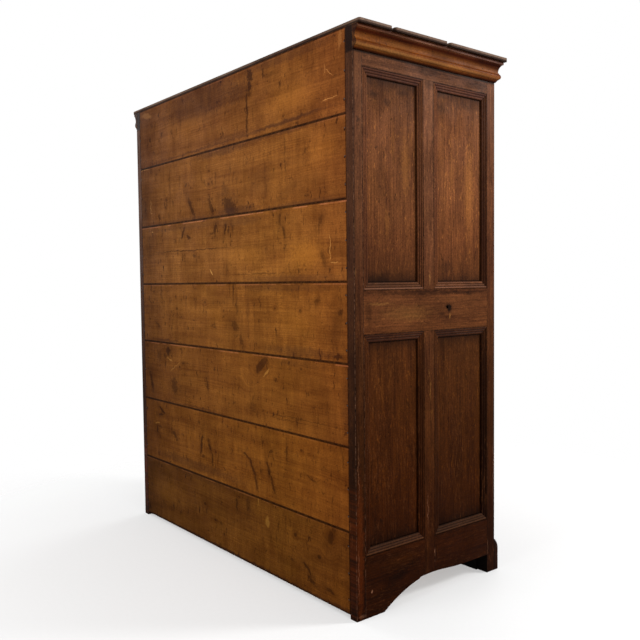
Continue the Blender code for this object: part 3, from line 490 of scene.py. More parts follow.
class Coat(Graph):
    """New material, with its shader and the place on the object that it covers."""

    def __init__(self, name: str) -> None:
        """Start a new material.

        Args:
            name: Its name.
        """
        self.material = bpy.data.materials.new(name)
        self.material.use_nodes = True
        super().__init__(self.material.node_tree)
        self.shader = self.tree.nodes["Principled BSDF"]
        self.place = self.add("TexCoord").outputs["Object"]

    def relief(self, height: Socket, strength: float, distance: float) -> None:
        """Let a height bump the surface.

        Args:
            height: The height.
            strength: Strength of the bump.
            distance: How deep it is, in metres.
        """
        bump = self.add("Bump")
        self.fill(bump.inputs, Strength=strength, Distance=distance, Height=height)
        self.fill(self.shader.inputs, Normal=bump.outputs[0])


@dataclass(frozen=True)
class MetalFinish:
    """Bare or blackened metal with its tarnish and the bright places that hands rub."""

    metal: Colour
    tarnish: Colour
    scale: float
    rough: Tuple[float, float]
    metallic: Tuple[float, float]

    def material(self, name: str) -> Material:
        """Material of this metal, under a name.

        Args:
            name: Name of the material.

        Returns:
            The material.
        """
        g = Coat(name)
        patches = g.step(g.noise(g.place, self.scale, 4.0, 0.6), 0.40, 0.60)
        grains = g.noise(g.place, self.scale * 9, 3.0, 0.6)
        g.fill(g.shader.inputs, Base_Color=g.mix(patches, self.metal, self.tarnish),
               Metallic=g.step(patches, 0.0, 1.0, *self.metallic),
               Roughness=g.step(g.plus(patches, grains), 0.3, 1.6, *self.rough))
        g.relief(grains, 0.35, 0.0003)
        return g.material


@dataclass(frozen=True)
class WoodFinish:
    """Colours and figure of one kind of wood and its coating."""

    early: Colour
    late: Colour
    pale: Colour
    dirt: Colour
    spacing: float
    rings: float
    fibres: float
    pores: float
    flecks: float
    tracks: float
    specks: float
    stain: float
    rough: Tuple[float, float]
    specular: float
    bump: float
    wander: float = 0.05
    grit: float = 0.20


BACK_PINE = WoodFinish(
    early=tone(162, 102, 42), late=tone(90, 45, 16), pale=tone(200, 134, 62), dirt=tone(36, 16, 7),
    spacing=0.0048, rings=0.36, fibres=0.22, pores=0.0, flecks=0.32, tracks=0.26, specks=0.80, stain=0.36,
    rough=(0.55, 0.80), specular=0.012, bump=0.30, wander=0.09, grit=0.14)
OAK_FRAME = WoodFinish(
    early=tone(143, 86, 53), late=tone(58, 30, 18), pale=tone(178, 114, 68), dirt=tone(20, 9, 5),
    spacing=0.0042, rings=0.30, fibres=0.66, pores=0.50, flecks=0.62, tracks=0.0, specks=0.75, stain=0.42,
    rough=(0.42, 0.66), specular=0.02, bump=0.35)
OAK_PANEL = WoodFinish(
    early=tone(151, 90, 50), late=tone(62, 31, 15), pale=tone(194, 122, 62), dirt=tone(20, 9, 5),
    spacing=0.0050, rings=0.22, fibres=0.62, pores=0.50, flecks=0.85, tracks=0.0, specks=0.80, stain=0.34,
    rough=(0.42, 0.66), specular=0.02, bump=0.35)
OAK_CORNICE = WoodFinish(
    early=tone(178, 104, 48), late=tone(100, 50, 20), pale=tone(204, 136, 76), dirt=tone(30, 13, 7),
    spacing=0.0045, rings=0.30, fibres=0.65, pores=0.30, flecks=0.20, tracks=0.0, specks=0.70, stain=0.42,
    rough=(0.35, 0.58), specular=0.018, bump=0.30)
PINE_TOP = WoodFinish(
    early=tone(112, 84, 68), late=tone(62, 42, 33), pale=tone(152, 126, 106), dirt=tone(28, 18, 13),
    spacing=0.0060, rings=0.45, fibres=0.60, pores=0.0, flecks=0.20, tracks=0.10, specks=0.40, stain=0.60,
    rough=(0.62, 0.85), specular=0.02, bump=0.40)
PINE_INSIDE = WoodFinish(
    early=tone(186, 142, 90), late=tone(150, 100, 56), pale=tone(206, 168, 118), dirt=tone(92, 62, 38),
    spacing=0.0055, rings=0.45, fibres=0.30, pores=0.0, flecks=0.10, tracks=0.05, specks=0.10, stain=0.30,
    rough=(0.55, 0.75), specular=0.06, bump=0.20, grit=0.05)
IRON = MetalFinish(tone(70, 62, 58), tone(62, 40, 28), 160.0, (0.42, 0.80), (0.90, 0.25))
BRASS = MetalFinish(tone(176, 138, 74), tone(92, 66, 38), 110.0, (0.28, 0.62), (1.0, 0.55))

SMUDGE = tone(46, 21, 8)
SCRATCH = tone(226, 164, 84)
PLUM = tone(58, 33, 26)
RUBBED = tone(140, 84, 46)
CREVICE = tone(18, 8, 5)
END_SHADE: Stops = (
    (0.0, 0.10, 0.06, 0.02), (0.08, 0.16, 0.10, 0.035), (0.17, 0.22, 0.15, 0.06), (0.27, 0.27, 0.21, 0.11),
    (0.40, 0.39, 0.34, 0.25), (0.52, 0.62, 0.58, 0.52), (0.63, 0.72, 0.68, 0.68), (0.73, 0.95, 0.95, 0.95),
    (0.85, 1.0, 1.0, 1.0), (1.0, 0.92, 0.96, 1.0))
FRONT_SHADE: Stops = (
    (0.0, 0.30, 0.22, 0.18), (0.12, 0.42, 0.33, 0.28), (0.45, 0.64, 0.57, 0.52), (0.70, 0.84, 0.84, 0.84),
    (1.0, 0.92, 0.92, 0.92))
# Painted shade across the back, from x = -HALF_WIDTH (0) to +HALF_WIDTH (1), darkest towards the cupboard's right end.
ACROSS_SHADE: Stops = (
    (0.0, 0.85, 0.74, 0.78), (0.07, 0.95, 0.86, 0.87), (0.24, 1.0, 1.0, 0.92), (0.52, 0.92, 0.94, 1.0),
    (0.78, 0.80, 0.83, 0.95), (0.93, 0.52, 0.52, 0.66), (1.0, 0.42, 0.42, 0.54))
# Tint of each back board: its own tone, with painted shade that darkens the top board and, most of all, the boards
# near the foot.
BOARD_TINTS = {7: (0.84, 0.78, 0.87), 6: (0.92, 0.88, 0.90), 5: (0.99, 0.97, 0.95), 4: (0.90, 0.86, 0.75),
               3: (0.76, 0.70, 0.58), 2: (0.74, 0.67, 0.48), 1: (0.48, 0.45, 0.33)}
END_TINTS = {"panel_upper_rear": (0.76, 0.74, 0.74), "panel_lower_rear": (0.86, 0.80, 0.72),
             "panel_upper_front": (0.95, 0.92, 0.92), "panel_lower_front": (0.78, 0.76, 0.72),
             "rear_post": grey(0.67), "front_post": (0.74, 0.70, 0.66), "top_rail": (0.74, 0.74, 0.76),
             "mid_rail": (1.05, 1.02, 0.95), "bottom_rail": (0.82, 0.74, 0.46), "upper_muntin": grey(0.94),
             "lower_muntin": grey(1.05)}


class WoodSurface(Coat):
    """Material of one board, laid down in steps as a finisher would."""

    STAIN_RUN = 0.020
    RELIEF = 0.0006
    BROOM_HEIGHT = 1.2

    def __init__(self, name: str, finish: WoodFinish, effects: Effects, along: Axis, normal: Axis,
                 seed: float) -> None:
        """Start a board's material.

        Args:
            name: Name of the board's node.
            finish: Wood and coating.
            effects: Shared node groups.
            along: Direction of the grain.
            normal: Direction that the board's main face looks in.
            seed: Chooses the figure.
        """
        super().__init__(name)
        self.name, self.finish, self.effects, self.seed = name, finish, effects, seed
        self.low, self.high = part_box(name)
        self.centre = (self.low + self.high) / 2
        self.parts = self.split(self.place)
        first, second = (axis for axis in Axis if axis is not normal)
        self.along, self.across, self.normal = along, second if along is first else first, normal
        self.face = self.join(self.parts[first.value], self.parts[second.value], 0.0)
        self.grain_place = self.grain_vector(along, self.across)
        shaken = self.add("TexNoise")
        self.fill(shaken.inputs, Vector=self.face, Scale=38.0)
        shift = self.vector("SUBTRACT", shaken.outputs[1], (0.5, 0.5, 0.5))
        shift = self.vector("MULTIPLY", shift, (self.STAIN_RUN, self.STAIN_RUN, 0.0))
        self.ragged_face = self.vector("ADD", self.face, shift)
        self.colour: object = finish.early
        self.height: Value = 0.5
        self.gloss: Value = 0.5
        self.halo: Optional[Socket] = None
        self.cores: Optional[Socket] = None

    def grain_vector(self, along: Axis, across: Axis) -> Socket:
        """Place with x along the grain, y across it and z into the board."""
        return self.join(*(self.parts[axis.value] for axis in (along, across, self.normal)))

    def beyond(self, axis: Axis, low: float, high: float) -> Socket:
        """Mask that rises between two places along a direction."""
        return self.step(self.parts[axis.value], low, high)

    def before(self, axis: Axis, low: float, high: float) -> Socket:
        """Mask that falls between two places along a direction."""
        return self.fall(self.parts[axis.value], low, high)

    def mask(self, share: Socket, strength: float, colour: Colour) -> "WoodSurface":
        """Lay a colour through a mask."""
        self.colour = self.mix(self.times(share, strength), self.colour, colour)
        return self

    def tint(self, colour: object) -> "WoodSurface":
        """Multiply the colour by another one."""
        self.colour = self.mix(1.0, self.colour, colour, "MULTIPLY")
        return self

    def knots(self, marks: Sequence[Mark]) -> None:
        """Bend the grain round knots on a face whose first axis it follows; the grain step colours them.

        Args:
            marks: The knots.
        """
        for mark in marks:
            node = self.group(self.effects.knot, Vector=self.grain_place, **mark.shape())
            self.grain_place, core, halo = node.outputs
            self.cores = self.most(self.cores, self.times(core, mark.strength))
            self.halo = self.most(self.halo, halo)

    def grain(self, pith: Tuple[float, float], turned: Optional[Socket] = None) -> "WoodSurface":
        """Lay the wood's figure.

        Args:
            pith: Place of the tree's middle across the grain and along the face's normal.
            turned: Mask of the places where the grain runs across the board instead.

        Returns:
            This surface.
        """
        finish, place = self.finish, self.grain_place
        if turned is not None:
            blend = self.add("Mix", turned, data_type="VECTOR")
            self.feed(blend.inputs[4], place)
            self.feed(blend.inputs[5], self.grain_vector(self.across, self.along))
            place = blend.outputs[1]
        node = self.group(self.effects.grain, Vector=place, Pith=(0.0, *pith), Spacing=finish.spacing,
                          Wander=finish.wander, Seed=self.seed)
        rings, fibres, pores, flecks, tracks, specks = node.outputs
        self.mask(rings, finish.rings, finish.late)
        if self.halo is not None:
            self.mask(self.halo, 0.30, finish.late)
        self.mask(self.step(fibres, 0.35, 0.70), finish.fibres, finish.late)
        self.mask(self.fall(fibres, 0.25, 0.42), finish.fibres * 0.7, finish.pale)
        self.mask(pores, finish.pores, finish.dirt)
        self.mask(flecks, finish.flecks, finish.pale)
        self.mask(self.step(tracks, 0.42, 0.64), finish.tracks, finish.late)
        self.mask(specks, finish.specks, finish.dirt)
        if self.cores is not None:
            self.colour = self.mix(self.cores, self.colour, finish.dirt)
        relief = self.minus(self.times(fibres, 0.5), self.times(pores, 0.6 * finish.pores))
        relief = self.plus(relief, self.times(rings, 0.25))
        self.height = self.plus(relief, self.times(tracks, finish.tracks))
        self.gloss = self.plus(self.times(fibres, 0.5), self.times(pores, 0.4))
        return self

    def cloud(self, place: Socket, scale: Place, more: float) -> Socket:
        """Mask of an uneven stain with so many waves a metre; its seed is the board's and some more."""
        return self.group(self.effects.blotch, Vector=place, Scale=scale, Seed=self.seed + more).outputs[0]

    def uneven(self, strength: float = 1.0, runs: float = 0.0) -> "WoodSurface":
        """Lay the cloudy variation of old stain and handling.

        Args:
            strength: Share of the finish's own strength.
            runs: Strength of the dirt that has run down the face.

        Returns:
            This surface.
        """
        finish, share = self.finish, self.finish.stain * strength
        cloud = self.cloud(self.place, (9.0, 9.0, 9.0), 4.0)
        self.mask(self.cloud(self.grain_place, (3.0, 16.0, 16.0), 0.0), share, finish.late)
        self.mask(cloud, share * 0.7, finish.dirt)
        self.mask(self.cloud(self.grain_place, (4.0, 28.0, 28.0), 9.0), share * 0.45, finish.pale)
        if runs:
            self.mask(self.cloud(self.place, (30.0, 30.0, 4.5), 13.0), runs, finish.late)
        self.gloss = self.plus(self.gloss, self.times(cloud, 0.5))
        return self

    def marks(self, marks: Sequence[Mark], colour: Colour, ragged: float, soft: float,
              grown: float = 1.0, halo: float = 0.0) -> "WoodSurface":
        """Lay stains or scratches of one colour.

        Args:
            marks: The marks.
            colour: Their colour.
            ragged: How uneven their outline is.
            soft: Share of the mark that fades.
            grown: How much larger they are than the sizes say, for their faded edge.
            halo: Strength of the faint stain round each.

        Returns:
            This surface.
        """
        total: Optional[Socket] = None
        for mark in marks:
            node = self.group(self.effects.mark, Vector=self.ragged_face, Ragged=ragged, Soft=soft,
                              **mark.shape(grown))
            mask = node.outputs["Mask"]
            if halo:
                mask = self.most(mask, self.times(node.outputs["Halo"], halo))
            total = self.most(total, self.times(mask, mark.strength))
        if total is not None:
            self.colour = self.mix(total, self.colour, colour)
        return self

    def wrinkled(self, strength: float, colour: Colour) -> "WoodSurface":
        """Lay the short dark wrinkles of an old coat that has shrunk; most run up the face.

        Args:
            strength: Their strength.
            colour: Their colour.

        Returns:
            This surface.
        """
        place = self.vector("ADD", self.ragged_face, (self.seed, 0.0, 0.0))
        ticks = self.step(self.noise(place, (60.0, 17.0, 1.0), 4.0, 0.66), 0.56, 0.69)
        patch = self.step(self.noise(place, (9.0, 7.0, 1.0), 3.0, 0.6), 0.38, 0.58, 0.25, 1.0)
        return self.mask(self.times(ticks, patch), strength, colour)

    def rubbed(self, strength: float) -> "WoodSurface":
        """Lay short pale streaks where knocks and brooms have worn the coat, fewer higher up.

        Args:
            strength: Their strength.

        Returns:
            This surface.
        """
        streaks = self.step(self.noise(self.grain_place, (30.0, 190.0, 190.0), 5.0, 0.75), 0.50, 0.66)
        patch = self.step(self.noise(self.grain_place, (5.0, 14.0, 14.0), 3.0, 0.6), 0.40, 0.66)
        fade = self.times(self.before(Axis.Z, self.BROOM_HEIGHT * 0.55, self.BROOM_HEIGHT), patch)
        return self.mask(self.times(streaks, fade), strength, RUBBED)

    def arrises(self, wear: float, grime: float, reach: float = 0.003,
                worn: Optional[Colour] = None) -> "WoodSurface":
        """Wear the arrises and darken what lies next to them.

        Args:
            wear: Strength of the pale worn line.
            grime: Strength of the dark line.
            reach: Width of the line in metres.
            worn: Colour of the worn line, or None for the finish's pale one.

        Returns:
            This surface.
        """
        node = self.group(self.effects.edges, Vector=self.place, Low=tuple(self.low), High=tuple(self.high),
                          Reach=reach)
        self.mask(node.outputs["Near"], grime, self.finish.dirt)
        return self.mask(node.outputs["Wear"], wear, worn or self.finish.pale)

    def shade(self, axis: Axis, start: float, end: float, stops: Stops) -> "WoodSurface":
        """Multiply the colour by a ramp along a direction; across the back and down the cornice's profile the ramp is
        painted shade and highlight.

        Args:
            axis: Direction of the change.
            start: Where the ramp starts, in metres.
            end: Where it ends.
            stops: Place from 0 to 1, red, green and blue of each stop.

        Returns:
            This surface.
        """
        share = self.math("DIVIDE", self.minus(self.parts[axis.value], start), end - start)
        return self.tint(self.ramp(self.plus(share, self.waver(0.05, self.place, 5.0, 3.0)), stops))

    def done(self) -> None:
        """Close the material and give it to the board."""
        finish = self.finish
        grit = self.step(self.noise(self.place, 185.0, 2.0, 0.7), 0.30, 0.70, 1.0 - finish.grit, 1.0 + finish.grit)
        self.tint(self.join(grit, grit, grit))
        self.fill(self.shader.inputs, Base_Color=self.colour, Specular_IOR_Level=finish.specular,
                  Roughness=self.step(self.gloss, 0.1, 1.2, *finish.rough))
        self.relief(self.height, finish.bump, self.RELIEF)
        dress(self.name, self.material)


class MouldedPanel(WoodSurface):
    """Material of a panel that has a reeded and mitred moulding round its outer side."""

    MOULDING = 0.025

    def __init__(self, name: str, effects: Effects, normal: Axis, seed: float, across: Span, up: Span) -> None:
        """Start a panel's material; its plain back is the side nearer to the cupboard's middle.

        Args:
            name: Name of the panel's node.
            effects: Shared node groups.
            normal: Direction that it looks in.
            seed: Chooses the figure.
            across: Sides of its opening, on the face's first axis.
            up: Foot and top of its opening.
        """
        super().__init__(name, OAK_PANEL, effects, Axis.Z, normal, seed)
        back = min(self.low[normal.value], self.high[normal.value], key=abs)
        outside = self.step(self.math("ABSOLUTE", self.minus(self.parts[normal.value], back)), 0.0004, 0.0014)
        low, high = zip(across, up, (0.0, 0.0))
        node = self.group(effects.zones, Vector=self.face, Low=low, High=high, Width=self.MOULDING)
        self.moulding, self.mitre, level, self.corner, self.groove, self.shelter = (
            self.times(outside, output) for output in node.outputs)
        self.turned = self.times(self.moulding, level)

    def crevices(self, corner: float, groove: float) -> None:
        """Darken the inner corners and the moulding's grooves with painted shade and dirt, and its mitres, which are
        dark joints.
        """
        self.mask(self.corner, corner, CREVICE)
        self.mask(self.most(self.mitre, self.groove), groove, CREVICE)


class Piece:
    """Small piece, modelled by hand with Blender's own operators."""

    FACING = 0.9
    MERGED = 0.000001
    NAIL_SIDES = 8
    NAIL_FACETS = ((0.16, 0.5), (0.14, 0.3))
    NAIL_INSET = 0.28
    NAIL_STUB = 0.004
    SCREW_SIDES = 20
    SCREW_DEPTH = 0.0008
    SCREW_MIDDLE = -0.0003
    SCREW_CROWN = (0.12, 0.0001)
    SCREW_CONE = (0.6, 0.0006)
    SLOT = (2.4, 0.28)
    SLOT_DEPTH = 0.001
    SLOT_MIDDLE = 0.00035

    def __init__(self, item: bpy.types.Object, name: str) -> None:
        """Take an object and name it and its mesh."""
        self.item = item
        item.name = item.data.name = name

    @staticmethod
    def leave() -> None:
        """Leave edit mode and deselect everything."""
        if bpy.context.object and bpy.context.object.mode != "OBJECT":
            bpy.ops.object.mode_set(mode="OBJECT")
        bpy.ops.object.select_all(action="DESELECT")

    @classmethod
    def cylinder(cls, name: str, radius: float, depth: float, z: float, sides: int) -> "Piece":
        """Start from a cylinder on the z axis.

        Args:
            name: Name of the piece.
            radius: Its radius.
            depth: Its length.
            z: Height of its middle.
            sides: Number of its sides.

        Returns:
            The piece.
        """
        cls.leave()
        bpy.ops.mesh.primitive_cylinder_add(vertices=sides, radius=radius, depth=depth, location=(0, 0, z))
        return cls(bpy.context.object, name)

    @classmethod
    def block(cls, name: str, size: Place, centre: Place) -> "Piece":
        """Start from a block.

        Args:
            name: Name of the piece.
            size: Its size along each axis.
            centre: Place of its middle.

        Returns:
            The piece.
        """
        cls.leave()
        bpy.ops.mesh.primitive_cube_add(size=1.0, location=centre, scale=size)
        return cls(bpy.context.object, name)

    def take(self) -> None:
        """Make this piece the only one that is selected."""
        self.leave()
        bpy.context.view_layer.objects.active = self.item
        self.item.select_set(True)

    def pick(self, sign: int) -> None:
        """Enter edit mode with the faces selected that look along the z axis.

        Args:
            sign: 1 for those that look up and -1 for those that look down.
        """
        self.take()
        bpy.ops.object.mode_set(mode="EDIT")
        bpy.ops.mesh.select_mode(type="FACE")
        bpy.ops.mesh.select_all(action="DESELECT")
        bpy.ops.object.mode_set(mode="OBJECT")
        for face in self.item.data.polygons:
            face.select = face.normal.z * sign > self.FACING
        bpy.ops.object.mode_set(mode="EDIT")

    def resize(self, *factors: float) -> None:
        """Resize what is selected about the origin."""
        bpy.ops.transform.resize(value=factors, center_override=(0, 0, 0))

    def extend(self, z: float) -> None:
        """Extrude the selected faces along the z axis."""
        bpy.ops.mesh.extrude_region_move(TRANSFORM_OT_translate={"value": (0, 0, z)})

    def modify(self, kind: str, **settings: object) -> None:
        """Add a modifier and apply it.

        Args:
            kind: Blender's name for its kind.
            **settings: Its settings, by their names.
        """
        self.take()
        modifier = self.item.modifiers.new(kind.lower(), kind)
        for name, value in settings.items():
            setattr(modifier, name, value)
        bpy.ops.object.modifier_apply(modifier=modifier.name)

    def carve(self, cutter: "Piece") -> None:
        """Cut a shape out of this piece and remove the cutter."""
        self.modify("BOOLEAN", operation="DIFFERENCE", object=cutter.item, solver="EXACT")
        cutter.discard()

    def discard(self) -> None:
        """Remove a cutter or a pattern."""
        bpy.data.objects.remove(self.item)

    def settle(self, material: Material, smooth: float) -> "Piece":
        """Close the edit, put the origin at zero, shade and give the material.

        Args:
            material: Its material.
            smooth: Angle up to which edges are smooth, in degrees.

        Returns:
            This piece.
        """
        self.take()
        bpy.ops.object.transform_apply(location=True, rotation=True, scale=True)
        bpy.ops.object.mode_set(mode="EDIT")
        bpy.ops.mesh.select_all(action="SELECT")
        bpy.ops.mesh.remove_doubles(threshold=self.MERGED)
        bpy.ops.mesh.normals_make_consistent(inside=False)
        bpy.ops.object.mode_set(mode="OBJECT")
        bpy.ops.object.shade_smooth_by_angle(angle=math.radians(smooth))
        self.item.data.materials.clear()
        self.item.data.materials.append(material)
        return self

    def copy(self, name: str, place: Sequence[float], *turns: Matrix) -> "Piece":
        """Copy a pattern that was made round the origin, with its own mesh, to its place.

        Args:
            name: Name of the copy.
            place: Where its origin goes.
            *turns: How it is turned there, the last turn first.

        Returns:
            The copy, with its own origin at zero.
        """
        item = self.item.copy()
        item.data = self.item.data.copy()
        bpy.context.scene.collection.objects.link(item)
        where = Matrix.Translation(place)
        for turn in turns:
            where = where @ turn
        item.data.transform(where)
        return Piece(item, name)

    def fit(self, body: str, slot: str) -> None:
        """Make this finished piece ride on its body, and report it.

        Args:
            body: Body that carries it.
            slot: Not used.
        """
        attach(self.item, body)
        log.info("%s rides on %s", self.item.name, body)

    @classmethod
    def nail(cls, name: str, width: float, length: float, proud: float, material: Material) -> "Piece":
        """Hand-struck nail head round the origin, facing +Z, with its stub in the wood.

        Args:
            name: Name of the pattern.
            width: Long side of the head.
            length: Short side of the head.
            proud: Height of the head over the wood.
            material: Its material.

        Returns:
            The pattern.
        """
        head = cls.cylinder(name, width / 2, proud, proud / 2, cls.NAIL_SIDES)
        head.pick(1)
        for inward, upward in cls.NAIL_FACETS:
            bpy.ops.mesh.inset(thickness=width * inward, depth=proud * upward)
        head.pick(-1)
        bpy.ops.mesh.inset(thickness=width * cls.NAIL_INSET, depth=0)
        head.extend(-cls.NAIL_STUB)
        bpy.ops.mesh.select_all(action="SELECT")
        head.resize(1.0, length / width, 1.0)
        return head.settle(material, 40.0)

    @classmethod
    def screw(cls, name: str, radius: float, material: Material) -> "Piece":
        """Slotted countersunk screw head round the origin, facing +Z, almost flush with z = 0.

        Args:
            name: Name of the pattern.
            radius: Radius of the head.
            material: Its material.

        Returns:
            The pattern.
        """
        (inward, upward), (taper, sunk) = cls.SCREW_CROWN, cls.SCREW_CONE
        head = cls.cylinder(name, radius, cls.SCREW_DEPTH, cls.SCREW_MIDDLE, cls.SCREW_SIDES)
        head.pick(1)
        bpy.ops.mesh.inset(thickness=radius * inward, depth=upward)
        head.pick(-1)
        head.extend(-sunk)
        head.resize(taper, taper, 1.0)
        slot = (radius * cls.SLOT[0], radius * cls.SLOT[1], cls.SLOT_DEPTH)
        head.carve(cls.block("slot", slot, (0, 0, cls.SLOT_MIDDLE)))
        return head.settle(material, 30.0)


@dataclass
class BackBoards:
    """Seven horizontal deal boards, nailed to the rear posts."""

    effects: Effects
    nail_from_end: float = 0.006
    nail_spacing: float = 0.088
    head_width: float = 0.0052
    head_length: float = 0.0036
    head_proud: float = 0.0005
    rust_width: float = 0.009
    rust_height: float = 0.012
    arris: float = 0.0062

    KNOTS = {
        6: ((458, 393, 30, 13, 0.7, 35), (645, 408, 20, 12, 0.7, -20), (278, 438, 15, 11, 0.5)),
        5: ((517, 692, 34, 15, 0.75, -15), (1045, 685, 26, 12, 0.45)),
        4: ((1245, 906, 17, 16, 0.85), (357, 915, 16, 13, 0.9), (597, 885, 22, 16, 0.5), (743, 918, 13, 9, 0.6),
            (1095, 900, 13, 11, 0.6), (1463, 906, 14, 18, 0.7)),
        3: ((1003, 1111, 104, 38, 0.9, 40), (1245, 1107, 13, 11, 0.6), (370, 1170, 16, 14, 0.7)),
        2: ((30, 1478, 22, 18, 0.8), (815, 1530, 12, 11, 0.5), (1240, 1390, 14, 12, 0.6)),
        1: ((1398, 1657, 30, 58, 0.6, -15), (1335, 1740, 24, 17, 0.85), (1200, 1698, 18, 17, 0.7),
            (570, 1728, 24, 15, 0.75), (82, 1745, 15, 12, 0.6), (652, 1778, 18, 10, 0.6)),
    }
    SMUDGES = {
        7: ((750, 26, 14, 12, 0.9), (955, 48, 34, 46, 0.8, 15), (950, 82, 26, 36, 0.8), (948, 108, 20, 30, 0.6),
            (932, 175, 11, 180, 0.75), (890, 100, 140, 70, 0.35), (248, 147, 18, 14, 0.6), (225, 172, 12, 10, 0.5),
            (660, 80, 16, 70, 0.35), (600, 66, 22, 60, 0.3), (420, 120, 10, 60, 0.3), (1080, 70, 70, 16, 0.3)),
        6: ((500, 490, 20, 96, 0.7, 30), (660, 500, 26, 66, 0.65, 28), (800, 512, 110, 60, 0.75, -28),
            (770, 455, 50, 60, 0.4, -35), (810, 365, 14, 40, 0.4), (700, 380, 10, 22, 0.35), (1165, 335, 8, 60, 0.4),
            (1283, 367, 12, 18, 0.5), (315, 400, 5, 160, 0.35), (50, 475, 80, 120, 0.4), (905, 400, 5, 150, 0.2),
            (1040, 400, 5, 190, 0.2), (1180, 490, 120, 40, 0.25, 25)),
        5: ((425, 592, 13, 48, 0.8, -30), (474, 615, 12, 30, 0.7, 50), (690, 590, 20, 46, 0.7, -18),
            (672, 606, 46, 10, 0.5, 8), (766, 596, 14, 44, 0.8, -18), (788, 600, 10, 24, 0.6), (820, 600, 10, 30, 0.5),
            (1130, 586, 14, 50, 0.6), (1155, 630, 12, 60, 0.6, 15), (1358, 610, 18, 40, 0.5, -25),
            (1375, 730, 20, 60, 0.5, 25), (487, 668, 540, 3.2, 0.75), (985, 775, 250, 5, 0.45),
            (100, 640, 60, 120, 0.25)),
        4: ((818, 830, 9, 40, 0.6), (825, 972, 52, 34, 0.55, -38), (870, 1024, 24, 50, 0.5, 15),
            (172, 990, 50, 13, 0.5, -35), (1445, 1052, 40, 18, 0.7), (215, 845, 16, 54, 0.4), (840, 895, 16, 50, 0.4),
            (1335, 872, 24, 14, 0.5, 30), (1440, 960, 50, 160, 0.3, -12), (920, 930, 6, 180, 0.25),
            (960, 930, 5, 180, 0.2)),
        3: ((268, 1105, 44, 36, 0.75, 20), (240, 1128, 30, 16, 0.5), (405, 1150, 20, 13, 0.5),
            (322, 1258, 52, 70, 0.6, 15), (100, 1260, 22, 92, 0.6, 22), (180, 1130, 36, 40, 0.45, -30),
            (607, 1222, 15, 60, 0.6, 12), (667, 1155, 12, 12, 0.5), (940, 1275, 46, 38, 0.35),
            (810, 1275, 14, 12, 0.5), (60, 1092, 30, 18, 0.4), (1240, 1284, 380, 3.5, 0.4), (1180, 1296, 240, 3, 0.35),
            (925, 1240, 6, 160, 0.25)),
        2: ((195, 1380, 56, 11, 0.8, -25), (188, 1402, 46, 10, 0.7, 10), (150, 1474, 18, 28, 0.7),
            (165, 1458, 56, 9, 0.5), (312, 1474, 46, 22, 0.65, -20), (334, 1492, 14, 20, 0.5),
            (550, 1482, 12, 80, 0.75, -10), (562, 1528, 26, 12, 0.6), (618, 1480, 15, 42, 0.75, 22),
            (636, 1524, 11, 60, 0.7, 8), (898, 1470, 56, 10, 0.7, -25), (930, 1502, 14, 62, 0.75, 28),
            (956, 1552, 12, 56, 0.7, 12), (1040, 1494, 15, 52, 0.7, 20), (1066, 1546, 13, 60, 0.7, 22),
            (1060, 1426, 28, 13, 0.6, 30), (1155, 1412, 7, 80, 0.5), (1300, 1480, 48, 8, 0.5, -15),
            (1465, 1384, 7, 60, 0.4), (315, 1570, 60, 40, 0.25)),
        1: ((818, 1672, 12, 50, 0.6), (900, 1657, 26, 60, 0.45), (1180, 1792, 18, 11, 0.5),
            (1270, 1800, 60, 14, 0.7, -35), (1292, 1832, 50, 16, 0.6, -28), (1395, 1840, 46, 12, 0.6, -12),
            (290, 1800, 13, 22, 0.6), (340, 1770, 12, 11, 0.5), (697, 1778, 13, 9, 0.5), (690, 1872, 14, 9, 0.5),
            (40, 1855, 50, 40, 0.6), (480, 1760, 6, 100, 0.25)),
    }
    SCRATCHES = {
        7: ((1410, 133, 52, 2.6, 0.6, -38), (1415, 217, 90, 2.6, 0.6, 4), (100, 42, 110, 24, 0.3, -12),
            (1468, 45, 20, 60, 0.22), (1390, 120, 3, 40, 0.4)),
        6: ((128, 456, 4.5, 62, 0.65), (134, 486, 18, 4, 0.5), (66, 284, 110, 5, 0.6)),
        5: ((655, 762, 40, 7, 0.6, -42), (1408, 695, 3.2, 100, 0.6), (138, 572, 16, 5, 0.5), (1430, 745, 40, 5, 0.4)),
        3: ((330, 1172, 120, 4, 0.35, 25), (280, 1142, 60, 4, 0.4, -20), (1035, 1135, 60, 8, 0.35, 40)),
        2: ((145, 1446, 50, 6, 0.5, 15),),
        1: ((1028, 1695, 32, 42, 0.4), (967, 1630, 5, 50, 0.4)),
    }
